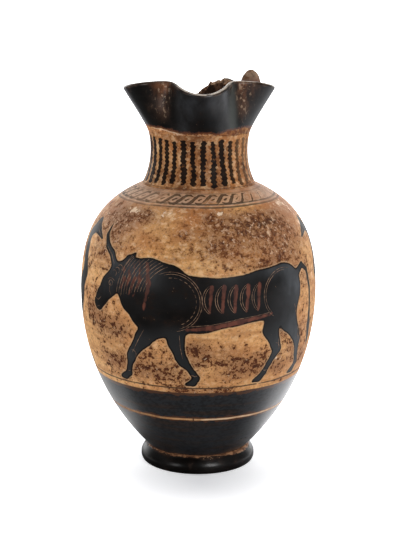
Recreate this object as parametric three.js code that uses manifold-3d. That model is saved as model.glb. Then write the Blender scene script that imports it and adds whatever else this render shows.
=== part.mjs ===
// Oinochoe: a fired clay wine jug with a pinched three-lobed mouth and a rolled handle.
// Millimetres, +Z up, the resting ring in the plane z = 0, the spout towards -Y, the handle at +Y.
// Foot, body, neck and mouth are thrown separately and luted together; the handle and the
// small disc beside it are formed by hand. Each is a solid of its own, 0.3 mm from its neighbour.
import * as THREE from "three";
import { mergeVertices } from "three/addons/utils/BufferGeometryUtils.js";
import Module from "manifold-3d";

const degree = Math.PI / 180;
// Gap between two thrown pieces, and from a hand-formed piece to what it is pressed on to
const jointGap = 0.3;
const seatGap = 0.4;

// Foot: a low rounded ring
const footHeight = 13.2;
const footRestInnerRadius = 34.5;
const footRestOuterRadius = 42.2;
const footEdgeRadius = 44.3;
const footEdgeHeight = 4.8;
const footWaistRadius = 38.9;
const footBoreRadius = 30.5;
const footRestHandle = new THREE.Vector2(43.7, 0.2);
const footEdgeRoundBelow = 2.6;
const footEdgeRoundAbove = 3.4;
const footWaistHandle = new THREE.Vector2(41.2, 11.4);

// Body: one continuous curve from the foot, out to the belly and in over the shoulder
const bellyRadius = 90.15;
const bellyHeight = 136.5;
const bodyBottomHeight = footHeight + jointGap;
const bodyBottomRadius = 38.95;
const bodyRise = new THREE.Vector2(27.1, 28);
const bellyRoundBelow = 54.7;
const bellyRoundAbove = 45.6;
const shoulderReach = new THREE.Vector2(33.7, -14.5);
const shoulderTopHeight = 218.6;
const shoulderTopRadius = 42.85;
const bodyWall = 5.5;
const bodyFloorHeight = 21;
const bodyFloorCorner = 4;
const bodyHoleRadius = 37.6;
const bodyHoleLip = 4.2;

// Neck: a concave tube, narrowest a little above its middle
const neckBottomHeight = shoulderTopHeight + jointGap;
const neckWaistRadius = 36.65;
const neckWaistHeight = 244.5;
const neckTopRadius = 38.4;
const neckTopHeight = 258;
const neckWall = 4.8;
const neckBottomHandle = new THREE.Vector2(39.55, 224.5);
const neckWaistBelow = 11;
const neckWaistAbove = 5.5;
const neckTopHandle = new THREE.Vector2(37.3, 254.5);

// Mouth: the round mouth as thrown, then pinched on both sides of the spout
const mouthBottomHeight = neckTopHeight + jointGap;
const roundFrontRadius = 62.9;
const roundSideRadius = 62.7;
const roundBackRadius = 47.7;
const pinchTurn = 41.7 * degree;
const pinchWidth = 25.2 * degree;
const pinchDepth = 24.8;
const lipThickness = 3.6;
const mouthStart = new THREE.Vector2(1.3, 4.2);
const mouthFlareShare = 0.6;
const brokenLipRound = 0.2;
const lipHeights = [
  { turn: 0, height: 288.9 },
  { turn: 44 * degree, height: 297.4 },
  { turn: 100 * degree, height: 290.2 },
  { turn: 140 * degree, height: 290.8 },
  { turn: 151 * degree, height: 293.4 },
  { turn: 180 * degree, height: 293.2 },
];

// The lost piece of rim behind: height of the broken edge, by degrees round from the back
const brokenEdge = [
  { fromBack: -38, height: 291 },
  { fromBack: -33, height: 287 },
  { fromBack: -27.5, height: 285 },
  { fromBack: -22, height: 281 },
  { fromBack: -15.5, height: 277.5 },
  { fromBack: -8, height: 278 },
  { fromBack: 0, height: 281.3 },
  { fromBack: 5, height: 282.5 },
  { fromBack: 11, height: 285.7 },
  { fromBack: 14, height: 289.3 },
  { fromBack: 18, height: 289.7 },
  { fromBack: 24, height: 291.2 },
  { fromBack: 28, height: 293 },
  { fromBack: 31, height: 293.4 },
];

// Handle: three clay rolls side by side, bowed from the back of the mouth to the shoulder
const rollWidth = 9.4;
const rollSpacing = rollWidth + jointGap;
const rollHeight = 9.4;
const rollRootHeight = 14;
const rollRootShare = 0.14;
const handleBow = [
  [30, 258],
  [40, 263.5],
  [49, 267.5],
  [59, 269.4],
  [69.5, 267],
  [78, 258.5],
  [82, 246],
  [82.6, 232],
  [80, 217.5],
  [75.5, 203.5],
  [69, 190],
];

// Rotelle: the small disc left standing on the rim, right of the handle
const rotelleRadius = 8.6;
const rotelleThickness = 8;
const rotelleCrown = 2;
const rotelleRounding = 3;
const rotelleTurn = 131.5 * degree;
const rotelleReach = 56;
const rotelleHeight = 291;

// Fineness of the faceted surfaces
const turnSteps = 60;
const mouthTurnSteps = 90;
const mouthRows = 7;
const lipRows = 3;
const curveSteps = 8;
const rollSides = 10;
const rollSteps = 24;
const rotelleSteps = 24;
const footBelowSteps = 4;
const footAboveSteps = 6;
const neckLowerSteps = 5;
const neckUpperSteps = 3;
const halvings = 24;
// Small step, in radians or in share of the wall's height, that a slope is measured over, and
// the share of the height in which the wall's way out turns from level to square
const slopeStep = 0.004;
const levelShare = 0.33;

const wasm = await Module();
wasm.setup();

const blackGlaze = { color: 0x1c1a19, roughness: 0.35, metalness: 0 };
const paintedClay = { color: 0xb9824f, roughness: 0.6, metalness: 0 };
const wornClay = { color: 0x8a7a6a, roughness: 0.7, metalness: 0 };

function piece(name, geometry, finish) {
  const mesh = new THREE.Mesh(geometry, new THREE.MeshStandardMaterial(finish));
  mesh.name = name;
  return mesh;
}

// A profile of (radius, height) points turned about the Z axis
function turned(profile) {
  const geometry = new THREE.LatheGeometry(profile, turnSteps);
  geometry.rotateX(Math.PI / 2);
  return geometry;
}

// The points of a wall's outer line moved towards its inside by the wall's thickness
function parallelLine(points, distance) {
  return points.map((point, i) => {
    const before = points[Math.max(i - 1, 0)];
    const after = points[Math.min(i + 1, points.length - 1)];
    const along = after.clone().sub(before).normalize();
    return new THREE.Vector2(point.x - along.y * distance, point.y + along.x * distance);
  });
}

function curvePoints(from, handleFrom, handleTo, to, steps) {
  return new THREE.CubicBezierCurve(from, handleFrom, handleTo, to).getPoints(steps);
}

function foot() {
  const edge = new THREE.Vector2(footEdgeRadius, footEdgeHeight);
  const rest = new THREE.Vector2(footRestOuterRadius, 0);
  const waist = new THREE.Vector2(footWaistRadius, footHeight);
  const below = curvePoints(
    rest,
    footRestHandle,
    new THREE.Vector2(footEdgeRadius, footEdgeHeight - footEdgeRoundBelow),
    edge,
    footBelowSteps,
  );
  const above = curvePoints(
    edge,
    new THREE.Vector2(footEdgeRadius, footEdgeHeight + footEdgeRoundAbove),
    footWaistHandle,
    waist,
    footAboveSteps,
  );
  const profile = [
    new THREE.Vector2(footRestInnerRadius, 0),
    ...below,
    ...above.slice(1),
    new THREE.Vector2(footBoreRadius, footHeight),
    new THREE.Vector2(footRestInnerRadius, 0),
  ];
  return turned(profile);
}

// The outer line of the body, from the foot joint up to the neck joint
function bodyLine() {
  const bottom = new THREE.Vector2(bodyBottomRadius, bodyBottomHeight);
  const belly = new THREE.Vector2(bellyRadius, bellyHeight);
  const top = new THREE.Vector2(shoulderTopRadius, shoulderTopHeight);
  const lower = curvePoints(
    bottom,
    bottom.clone().add(bodyRise),
    new THREE.Vector2(bellyRadius, bellyHeight - bellyRoundBelow),
    belly,
    curveSteps,
  );
  const upper = curvePoints(
    belly,
    new THREE.Vector2(bellyRadius, bellyHeight + bellyRoundAbove),
    top.clone().add(shoulderReach),
    top,
    curveSteps,
  );
  return [...lower, ...upper.slice(1)];
}

function body() {
  const outer = bodyLine();
  const inner = parallelLine(outer, bodyWall)
    .filter((point) => point.y > bodyFloorHeight)
    .reverse();
  const floorEdge = inner[inner.length - 1].x - bodyFloorCorner;
  return turned([
    new THREE.Vector2(0, bodyBottomHeight),
    ...outer,
    new THREE.Vector2(bodyHoleRadius, shoulderTopHeight),
    new THREE.Vector2(bodyHoleRadius, shoulderTopHeight - bodyHoleLip),
    ...inner,
    new THREE.Vector2(floorEdge, bodyFloorHeight),
    new THREE.Vector2(0, bodyFloorHeight),
  ]);
}

// The outer line of the neck, from the shoulder up to the mouth
function neckLine() {
  const bottom = new THREE.Vector2(shoulderTopRadius, neckBottomHeight);
  const waist = new THREE.Vector2(neckWaistRadius, neckWaistHeight);
  const top = new THREE.Vector2(neckTopRadius, neckTopHeight);
  const lower = curvePoints(
    bottom,
    neckBottomHandle,
    new THREE.Vector2(neckWaistRadius, neckWaistHeight - neckWaistBelow),
    waist,
    neckLowerSteps,
  );
  const upper = curvePoints(
    waist,
    new THREE.Vector2(neckWaistRadius, neckWaistHeight + neckWaistAbove),
    neckTopHandle,
    top,
    neckUpperSteps,
  );
  return [...lower, ...upper.slice(1)];
}

function neck() {
  const outer = neckLine();
  const inner = outer.map((point) => new THREE.Vector2(point.x - neckWall, point.y)).reverse();
  return turned([...outer, ...inner, outer[0].clone()]);
}

// 1 in the middle of a pinch, falling off on both sides of it
function pinchShare(turnFromPinch) {
  const x = turnFromPinch / pinchWidth;
  return 1 / (1 + x * x);
}

// Radius of the rim at a turn from the spout: an oval, less the two pinches
function rimRadius(turn) {
  const mean = (roundFrontRadius + roundBackRadius + 2 * roundSideRadius) / 4;
  const frontSwing = (roundFrontRadius - roundBackRadius) / 2;
  const sideSwing = (roundFrontRadius + roundBackRadius) / 4 - roundSideRadius / 2;
  const oval = mean + frontSwing * Math.cos(turn) + sideSwing * Math.cos(2 * turn);
  return oval - pinchDepth * (pinchShare(turn - pinchTurn) + pinchShare(turn + pinchTurn));
}

// Height of the lip's crest at a turn from the spout, eased from one named place to the next
function lipHeight(turn) {
  const away = Math.abs(turn);
  const next = Math.max(lipHeights.findIndex((place) => place.turn >= away), 1);
  const from = lipHeights[next - 1];
  const to = lipHeights[next];
  const share = (away - from.turn) / (to.turn - from.turn);
  return THREE.MathUtils.lerp(from.height, to.height, (1 - Math.cos(Math.PI * share)) / 2);
}

// Height that is left of the wall at a turn from the spout, where the rim is broken away
function brokenHeight(turn) {
  const fromBack = Math.atan2(Math.sin(Math.PI - turn), Math.cos(Math.PI - turn)) / degree;
  const next = brokenEdge.findIndex((place) => place.fromBack >= fromBack);
  if (next < 1) return Infinity;
  const from = brokenEdge[next - 1];
  const to = brokenEdge[next];
  const share = (fromBack - from.fromBack) / (to.fromBack - from.fromBack);
  return THREE.MathUtils.lerp(from.height, to.height, share);
}

// The wall's outer line in the upright plane at a turn: it leaves the neck as the neck ends
// and flares to the rim
function mouthLine(turn) {
  const neckEnd = new THREE.Vector2(neckTopRadius, mouthBottomHeight);
  const neckWay = neckEnd.clone().add(mouthStart);
  const rim = new THREE.Vector2(rimRadius(turn), lipHeight(turn) - lipThickness / 2);
  const rimWay = neckWay.clone().lerp(rim, mouthFlareShare);
  return new THREE.CubicBezierCurve(neckEnd, neckWay, rimWay, rim);
}

function around(turn, radius, height) {
  return new THREE.Vector3(radius * Math.sin(turn), -radius * Math.cos(turn), height);
}

function mouthPoint(turn, share) {
  const point = mouthLine(turn).getPoint(share);
  return around(turn, point.x, point.y);
}

// The way out of the wall, level at the neck joint so that the joint stays flat
function mouthOutward(turn, share) {
  const low = Math.max(share - slopeStep, 0);
  const high = Math.min(share + slopeStep, 1);
  const along = mouthPoint(turn + slopeStep, share).sub(mouthPoint(turn - slopeStep, share));
  const up = mouthPoint(turn, high).sub(mouthPoint(turn, low));
  const outward = along.cross(up).normalize();
  outward.z *= Math.min(share / levelShare, 1);
  return outward.normalize();
}

// The share of the mouth's line that lies below a height, found by halving
function shareBelow(turn, height) {
  const line = mouthLine(turn);
  if (line.getPoint(1).y <= height) return 1;
  let low = 0;
  let high = 1;
  for (let i = 0; i < halvings; i++) {
    const middle = (low + high) / 2;
    if (line.getPoint(middle).y < height) low = middle;
    else high = middle;
  }
  return low;
}

// One closed section of the mouth's wall: up the outside, over the lip and down the inside.
// A whole lip is round, and a broken edge is nearly flat.
function mouthSection(turn) {
  const top = shareBelow(turn, brokenHeight(turn));
  const lipRound = top < 1 ? brokenLipRound : 1;
  const outside = [];
  const inside = [];
  for (let row = 0; row <= mouthRows; row++) {
    const share = (top * row) / mouthRows;
    const thickness = THREE.MathUtils.lerp(neckWall, lipThickness, share);
    const point = mouthPoint(turn, share);
    outside.push(point);
    inside.unshift(point.clone().addScaledVector(mouthOutward(turn, share), -thickness));
  }
  const edge = outside[mouthRows];
  const middle = edge.clone().add(inside[0]).divideScalar(2);
  const half = edge.clone().sub(middle);
  const up = mouthPoint(turn, top).sub(mouthPoint(turn, top - slopeStep)).normalize();
  const lip = [];
  for (let row = 1; row <= lipRows; row++) {
    const angle = (Math.PI * row) / (lipRows + 1);
    const rise = half.length() * lipRound * Math.sin(angle);
    lip.push(middle.clone().addScaledVector(half, Math.cos(angle)).addScaledVector(up, rise));
  }
  return [...outside, ...lip, ...inside].reverse();
}

// Rings of points joined by two triangles for each four neighbours. The rings close on each
// other, or the first and the last are filled from a middle point.
function skin(rings, closed) {
  const size = rings[0].length;
  const points = rings.flat();
  const faces = [];
  const last = closed ? rings.length : rings.length - 1;
  for (let i = 0; i < last; i++) {
    for (let j = 0; j < size; j++) {
      const a = i * size + j;
      const b = i * size + ((j + 1) % size);
      const c = ((i + 1) % rings.length) * size + ((j + 1) % size);
      const d = ((i + 1) % rings.length) * size + j;
      faces.push(a, b, c, a, c, d);
    }
  }
  if (!closed) {
    const firstMiddle = points.push(middleOf(rings[0])) - 1;
    const lastMiddle = points.push(middleOf(rings[last])) - 1;
    for (let j = 0; j < size; j++) {
      const next = (j + 1) % size;
      faces.push(firstMiddle, next, j);
      faces.push(lastMiddle, last * size + j, last * size + next);
    }
  }
  const geometry = new THREE.BufferGeometry().setFromPoints(points);
  geometry.setIndex(faces);
  geometry.computeVertexNormals();
  return geometry;
}

function middleOf(ring) {
  const sum = ring.reduce((total, point) => total.add(point), new THREE.Vector3());
  return sum.divideScalar(ring.length);
}

function mouth() {
  const rings = [];
  for (let i = 0; i < mouthTurnSteps; i++) {
    rings.push(mouthSection((i / mouthTurnSteps) * 2 * Math.PI - Math.PI));
  }
  return skin(rings, true);
}

function solidOf(geometry) {
  const bare = geometry.index ? geometry.toNonIndexed() : geometry.clone();
  const merged = mergeVertices(
    new THREE.BufferGeometry().setAttribute("position", bare.getAttribute("position")),
    1e-4,
  );
  return new wasm.Manifold(
    new wasm.Mesh({
      numProp: 3,
      vertProperties: merged.getAttribute("position").array,
      triVerts: new Uint32Array(merged.index.array),
    }),
  );
}

function geometryOf(solid) {
  const mesh = solid.getMesh();
  const geometry = new THREE.BufferGeometry();
  geometry.setAttribute("position", new THREE.BufferAttribute(mesh.vertProperties, 3));
  geometry.setIndex(new THREE.BufferAttribute(mesh.triVerts, 1));
  geometry.computeVertexNormals();
  return geometry;
}

// The jug's outside up to the neck's top, filled and a seat's gap larger: what is luted on to
// the jug is cut to this form
function filledJug() {
  const line = [...bodyLine(), ...neckLine()].map(
    (point) => new THREE.Vector2(point.x + seatGap, point.y),
  );
  const top = mouthBottomHeight + seatGap;
  return solidOf(
    turned([
      new THREE.Vector2(0, bodyBottomHeight),
      ...line,
      new THREE.Vector2(neckTopRadius + seatGap, top),
      new THREE.Vector2(0, top),
    ]),
  );
}

// The same for the mouth, with its rim whole
function filledMouth() {
  const levels = mouthRows + 3;
  const rings = Array.from({ length: levels }, () => []);
  for (let i = 0; i < mouthTurnSteps; i++) {
    const turn = (i / mouthTurnSteps) * 2 * Math.PI - Math.PI;
    for (let row = 0; row <= mouthRows; row++) {
      const share = row / mouthRows;
      rings[row].push(mouthPoint(turn, share).addScaledVector(mouthOutward(turn, share), seatGap));
    }
    const edge = mouthPoint(turn, 1);
    const outward = mouthOutward(turn, 1);
    const up = edge.clone().sub(mouthPoint(turn, 1 - slopeStep)).normalize();
    const lipMiddle = edge.addScaledVector(outward, -lipThickness / 2);
    const reach = lipThickness / 2 + seatGap;
    const lean = reach * Math.SQRT1_2;
    rings[mouthRows + 1].push(
      lipMiddle.clone().addScaledVector(outward, lean).addScaledVector(up, lean),
    );
    rings[mouthRows + 2].push(lipMiddle.clone().addScaledVector(up, reach));
  }
  return solidOf(skin(rings, false));
}

// One clay roll of the handle, bowed in an upright plane and thickened where its ends are
// pressed on to the mouth and the shoulder
function roll(side) {
  const bow = new THREE.CatmullRomCurve3(
    handleBow.map(([y, z]) => new THREE.Vector3(side * rollSpacing, y, z)),
    false,
    "centripetal",
  );
  const across = new THREE.Vector3(1, 0, 0);
  const rings = [];
  for (let i = 0; i <= rollSteps; i++) {
    const share = i / rollSteps;
    const middle = bow.getPointAt(share);
    const through = bow.getTangentAt(share).cross(across).normalize();
    const fromEnd = Math.min(share, 1 - share) / rollRootShare;
    const root = Math.max(1 - fromEnd, 0) ** 2;
    const height = THREE.MathUtils.lerp(rollHeight, rollRootHeight, root);
    const ring = [];
    for (let j = 0; j < rollSides; j++) {
      const angle = (j / rollSides) * 2 * Math.PI;
      ring.push(
        middle
          .clone()
          .addScaledVector(across, (rollWidth / 2) * Math.cos(angle))
          .addScaledVector(through, (height / 2) * Math.sin(angle)),
      );
    }
    rings.push(ring);
  }
  return solidOf(skin(rings, false));
}

// A disc with crowned faces and a rounded edge, standing upright across the rim
function rotelle() {
  const half = rotelleThickness / 2;
  const rounding = rotelleRounding;
  const profile = [
    new THREE.Vector2(0, -half - rotelleCrown),
    new THREE.Vector2(rotelleRadius * 0.5, -half - rotelleCrown * 0.75),
    new THREE.Vector2(rotelleRadius - rounding, -half),
    new THREE.Vector2(rotelleRadius - rounding * 0.3, -half + rounding * 0.4),
    new THREE.Vector2(rotelleRadius, -half + rounding * 1.2),
  ];
  const mirrored = profile.map((point) => new THREE.Vector2(point.x, -point.y)).reverse();
  const disc = new THREE.LatheGeometry([...profile, ...mirrored], rotelleSteps);
  disc.rotateZ(-Math.PI / 2 + rotelleTurn);
  const centre = around(rotelleTurn, rotelleReach, rotelleHeight);
  disc.translate(centre.x, centre.y, centre.z);
  return solidOf(disc);
}

const jug = new THREE.Group();
jug.name = "oinochoe";
jug.add(piece("foot", foot(), blackGlaze));
jug.add(piece("body", body(), paintedClay));
jug.add(piece("neck", neck(), paintedClay));
jug.add(piece("mouth", mouth(), blackGlaze));

const jugForm = filledJug();
const mouthForm = filledMouth();
const rollNames = ["handle_left_roll", "handle_middle_roll", "handle_right_roll"];
rollNames.forEach((name, i) => {
  const seated = roll(i - 1).subtract(mouthForm).subtract(jugForm);
  jug.add(piece(name, geometryOf(seated), blackGlaze));
});
jug.add(piece("rotelle", geometryOf(rotelle().subtract(mouthForm)), wornClay));

export default jug;
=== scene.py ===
# A Greek wine jug with a three-lobed mouth: fired clay with black gloss and painted beasts.
# Metres, +Z up, the pouring lobe towards -Y. A "turn" is the angle round the jug in radians,
# 0 at the pouring lobe and growing towards +X.
import math

import bpy
import numpy as np
from mathutils import Euler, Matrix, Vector


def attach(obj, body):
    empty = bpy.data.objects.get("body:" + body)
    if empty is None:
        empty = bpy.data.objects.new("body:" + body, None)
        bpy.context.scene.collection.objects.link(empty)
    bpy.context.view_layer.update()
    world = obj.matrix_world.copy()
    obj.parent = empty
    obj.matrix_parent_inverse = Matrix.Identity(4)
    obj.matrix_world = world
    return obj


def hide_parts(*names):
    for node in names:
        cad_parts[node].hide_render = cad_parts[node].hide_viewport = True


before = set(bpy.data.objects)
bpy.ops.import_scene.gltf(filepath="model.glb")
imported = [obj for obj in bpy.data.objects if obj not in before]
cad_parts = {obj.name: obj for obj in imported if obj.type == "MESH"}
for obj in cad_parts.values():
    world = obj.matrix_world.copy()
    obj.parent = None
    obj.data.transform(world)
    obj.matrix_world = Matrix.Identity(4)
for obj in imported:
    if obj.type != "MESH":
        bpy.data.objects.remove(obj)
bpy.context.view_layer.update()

# CAMERA, LIGHT AND GROUND
# The jug was seen from just over a metre away and a little above, on a white sweep, with a
# large soft light on either side.
CAMERA_DISTANCE = 1.078
CAMERA_HEIGHT = 0.388
TARGET_HEIGHT = 0.14836
CAMERA_TURN = math.radians(-3.5)
CAMERA_ASIDE = 0.0012
CAMERA_ROLL = math.radians(0.3)
FOCAL_PIXELS = 1435.2
FRAME_PIXELS = 545

camera_data = bpy.data.cameras.new("camera")
camera_data.sensor_fit = "VERTICAL"
camera_data.sensor_height = 36.0
camera_data.lens = FOCAL_PIXELS * camera_data.sensor_height / FRAME_PIXELS
camera_data.clip_start = 0.05
camera = bpy.data.objects.new("camera", camera_data)
bpy.context.scene.collection.objects.link(camera)
away = Vector((math.sin(CAMERA_TURN), -math.cos(CAMERA_TURN), 0))
to_right = Vector((math.cos(CAMERA_TURN), math.sin(CAMERA_TURN), 0))
camera.location = (
    away * CAMERA_DISTANCE + to_right * CAMERA_ASIDE + Vector((0, 0, CAMERA_HEIGHT))
)
pitch = math.atan2(CAMERA_HEIGHT - TARGET_HEIGHT, CAMERA_DISTANCE)
aimed = Euler((math.pi / 2 - pitch, 0, CAMERA_TURN), "XYZ").to_matrix()
rolled = Euler((0, 0, CAMERA_ROLL), "XYZ").to_matrix()
camera.rotation_euler = (aimed @ rolled).to_euler()
bpy.context.scene.camera = camera
bpy.context.scene.view_settings.view_transform = "Standard"


def soft_light(name, place, aim, size, watts, mirrored=True):
    """A lamp with a flat lit face, at a place, turned so that the face looks at the aim. A
    lamp that isn't mirrored lights the clay but leaves no bright patch on the gloss."""
    lamp = bpy.data.lights.new(name, "AREA")
    lamp.shape = "RECTANGLE"
    lamp.size, lamp.size_y = size
    lamp.energy = watts
    holder = bpy.data.objects.new(name, lamp)
    holder.location = place
    holder.rotation_euler = (Vector(aim) - Vector(place)).to_track_quat("-Z", "Y").to_euler()
    holder.visible_glossy = mirrored
    bpy.context.scene.collection.objects.link(holder)


soft_light("left_light", (-1.25, 0.2, 0.35), (0, 0, 0.15), (0.7, 0.9), 8.8, mirrored=False)
soft_light("right_light", (1.2, 0.1, 0.4), (0, 0, 0.15), (0.9, 0.9), 7.6, mirrored=False)
soft_light("top_light", (0, 0.25, 1.5), (0, 0, 0.1), (1.0, 1.0), 10)
soft_light("key_light", (0.62, -1.3, 0.62), (0, 0, 0.13), (0.45, 0.6), 8.5)
soft_light("fill_light", (-1.05, -0.95, 0.35), (0, 0, 0.13), (0.4, 0.5), 2.2)


class Recipe:
    """The nodes of one finish or of one effect. Each call adds a node and gives its output."""

    def __init__(self, tree):
        self.tree = tree

    def node(self, kind, *inputs, output=0, **settings):
        made = self.tree.nodes.new("ShaderNode" + kind)
        for setting, value in settings.items():
            setattr(made, setting, value)
        for socket, value in zip(made.inputs, inputs):
            self.feed(socket, value)
        return made.outputs[output]

    def feed(self, socket, value):
        if isinstance(value, bpy.types.NodeSocket):
            self.tree.links.new(value, socket)
        elif value is not None:
            socket.default_value = value

    def maths(self, operation, *inputs):
        return self.node("Math", *inputs, operation=operation)

    def place(self, *scales):
        """The point on the object in metres, with each axis scaled."""
        there = self.node("TexCoord", output="Object")
        return self.node("VectorMath", there, scales, operation="MULTIPLY") if scales else there

    def noise(self, place, scale, detail=4.0, roughness=0.5):
        """Cloudy noise from about 0.2 to 0.8, with so many clouds to the metre."""
        made = self.node("TexNoise", place)
        texture = made.node
        texture.inputs["Scale"].default_value = scale
        texture.inputs["Detail"].default_value = detail
        texture.inputs["Roughness"].default_value = roughness
        return made

    def step(self, value, low, high):
        """0 below low and 1 above high, smooth between; low may be the higher one."""
        made = self.node("MapRange", value, low, high, interpolation_type="SMOOTHSTEP")
        return made

    def between(self, value, low, high, soft):
        """1 where the value lies from low to high, with edges that are soft."""
        up = self.step(value, low - soft, low + soft)
        down = self.step(value, high + soft, high - soft)
        return self.maths("MULTIPLY", up, down)

    def mix(self, share, first, second):
        """One colour or the other by a share."""
        made = self.tree.nodes.new("ShaderNodeMix")
        made.data_type = "RGBA"
        self.feed(made.inputs[0], share)
        self.feed(made.inputs[6], first)
        self.feed(made.inputs[7], second)
        return made.outputs[2]

    def blend(self, share, first, second):
        """One number or the other by a share."""
        made = self.tree.nodes.new("ShaderNodeMix")
        self.feed(made.inputs[0], share)
        self.feed(made.inputs[2], first)
        self.feed(made.inputs[3], second)
        return made.outputs[0]

    def effect(self, group, **inputs):
        """A shared effect with its own values, as its outputs by name."""
        made = self.tree.nodes.new("ShaderNodeGroup")
        made.node_tree = group
        for name, value in inputs.items():
            self.feed(made.inputs[name], value)
        return made.outputs


# The room is dim in front, where the camera stands, and above, and white low down behind
ROOM_FRONT = 0.07
ROOM_BACK = 2.4
world = bpy.data.worlds.new("white_room")
world.use_nodes = True
sky = Recipe(world.node_tree)
direction = sky.node("SeparateXYZ", sky.node("TexCoord", output="Generated")).node.outputs
behind = sky.node("MapRange", direction[1], 0.5, 0.85)
low = sky.node("MapRange", direction[2], 0.6, 0.2)
strength = sky.maths("MULTIPLY_ADD", sky.maths("MULTIPLY", behind, low), ROOM_BACK - ROOM_FRONT, ROOM_FRONT)
seen = sky.node("LightPath", output="Is Camera Ray")
background = world.node_tree.nodes["Background"]
background.inputs["Color"].default_value = (1, 1, 1, 1)
sky.feed(background.inputs["Strength"], sky.maths("MAXIMUM", strength, seen))
bpy.context.scene.world = world

# The white sweep: it keeps the jug's soft shadow just in front of the foot and is plain white
# further off. Straight in front it gives the jug's gloss a darker floor to reflect.
FLOOR_HALF = 3.0
SHADOW_AHEAD = 0.055
corner_signs = [(-1, -1), (1, -1), (1, 1), (-1, 1)]
floor_mesh = bpy.data.meshes.new("floor")
floor_mesh.from_pydata([(FLOOR_HALF * x, FLOOR_HALF * y, 0) for x, y in corner_signs], [], [(0, 1, 2, 3)])
floor = bpy.data.objects.new("floor", floor_mesh)
bpy.context.scene.collection.objects.link(floor)
sweep = bpy.data.materials.new("white_sweep")
sweep.use_nodes = True
ground = Recipe(sweep.node_tree)
from_shadow = ground.node("VectorMath", ground.place(), (0, SHADOW_AHEAD, 0))
from_shadow = ground.node("VectorMath", from_shadow, operation="LENGTH", output="Value")
near_glow = ground.node("MapRange", from_shadow, 0.0, 0.11, 0.26, 0.9)
far_glow = ground.node("MapRange", from_shadow, 0.2, 0.8, 0.0, 0.5)
across, ahead = ground.node("SeparateXYZ", ground.place()).node.outputs[:2]
right_side = ground.node("MapRange", across, 0.12, 0.34)
straight_behind = ground.node("MapRange", ground.maths("MULTIPLY_ADD", across, 1.3, ahead), 0.0, 0.12)
light_path = ground.node("LightPath").node.outputs
seen, softly = light_path["Is Camera Ray"], light_path["Is Diffuse Ray"]
open_floor = ground.maths("MAXIMUM", ground.maths("MAXIMUM", right_side, straight_behind), softly)
tone = ground.mix(ground.maths("MAXIMUM", open_floor, seen), (0.1, 0.1, 0.1, 1), (0.89, 0.9, 0.94, 1))
from_axis = ground.node("VectorMath", ground.place(), operation="LENGTH", output="Value")
beside_foot = ground.maths("MULTIPLY", ground.step(from_axis, 0.05, 0.09), ground.step(from_axis, 0.3, 0.18))
beside_foot = ground.maths("MULTIPLY", beside_foot, ground.step(ahead, -0.05, 0.0))
sweep_shader = sweep.node_tree.nodes["Principled BSDF"]
sweep_shader.inputs["Roughness"].default_value = 0.6
sweep_shader.inputs["Emission Color"].default_value = (1, 1, 1, 1)
ground.feed(sweep_shader.inputs["Base Color"], tone)
glow = ground.maths("MULTIPLY", seen, ground.maths("ADD", near_glow, far_glow))
# beside the foot the floor glows for reflections only, a glow that stands in for light on the gloss's lower edges
mirrored_glow = ground.maths("MULTIPLY", light_path["Is Glossy Ray"], ground.maths("MULTIPLY", beside_foot, 0.7))
ground.feed(sweep_shader.inputs["Emission Strength"], ground.maths("ADD", glow, mirrored_glow))
floor_mesh.materials.append(sweep)

# FOOT
# A low ring of clay with a rounded edge, turned on the wheel by itself and luted under the
# body, then covered with the black gloss, which has worn to brown at the joint.
MM = 0.001
FOOT_HEIGHT = 13.2
FOOT_REST = (34.5, 42.2)
FOOT_EDGE = (44.3, 4.8)
FOOT_WAIST = (38.9, 13.35)
FOOT_BORE = 30.5
FOOT_REST_HANDLE = (43.7, 0.2)
FOOT_WAIST_HANDLE = (41.2, 11.4)
FOOT_EDGE_HANDLES = (2.2, 8.2)
JOINT_CRUST = (0.34, 0.175, 0.09, 1)


def curve(start, handle_one, handle_two, end, steps):
    """A cubic Bezier curve: each point is the four given points weighted by (1-s)^3,
    3s(1-s)^2, 3s^2(1-s) and s^3, where s runs from 0 to 1."""
    share = np.linspace(0, 1, steps + 1)[:, None]
    left = 1 - share
    ends = left**3 * np.array(start) + share**3 * np.array(end)
    return ends + 3 * share * left * (left * np.array(handle_one) + share * np.array(handle_two))


def evenly(line, spacing):
    """The same line with its points a given distance apart along it."""
    steps = np.hypot(*np.diff(line, axis=0).T)
    along = np.concatenate([[0], np.cumsum(steps)])
    places = np.linspace(0, along[-1], max(int(round(along[-1] / spacing)), 1) + 1)
    return np.column_stack([np.interp(places, along, column) for column in line.T])


def joined(*lines):
    """Lines set end to end, each without the point that it shares with the one before."""
    return np.vstack([lines[0]] + [line[1:] for line in lines[1:]])


def revolved(profile, sides):
    """A profile of (radius, height) turned about Z: (radius sin t, -radius cos t, height),
    where t runs round in equal steps from -180 degrees. Rows go along the profile."""
    turns = np.linspace(-math.pi, math.pi, sides, endpoint=False)
    radius, height = profile[:, :1], profile[:, 1:]
    x, y = radius * np.sin(turns), -radius * np.cos(turns)
    return np.stack([x, y, np.broadcast_to(height, x.shape)], axis=2)


def grid_faces(rows, sides, ring):
    """Four-cornered faces between neighbouring rows, facing outwards, as lists of corners. The
    rows join in a ring, or the first and last row are closed by a flat face."""
    row = np.arange(rows if ring else rows - 1)[:, None]
    side = np.arange(sides)[None, :]
    next_row, next_side = (row + 1) % rows, (side + 1) % sides
    corners = [(row, side), (row, next_side), (next_row, next_side), (next_row, side)]
    faces = np.stack([a * sides + b for a, b in corners], axis=2).reshape(-1, 4).tolist()
    if not ring:
        faces.append(list(range(sides))[::-1])
        faces.append(list(range((rows - 1) * sides, rows * sides)))
    return faces


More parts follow.
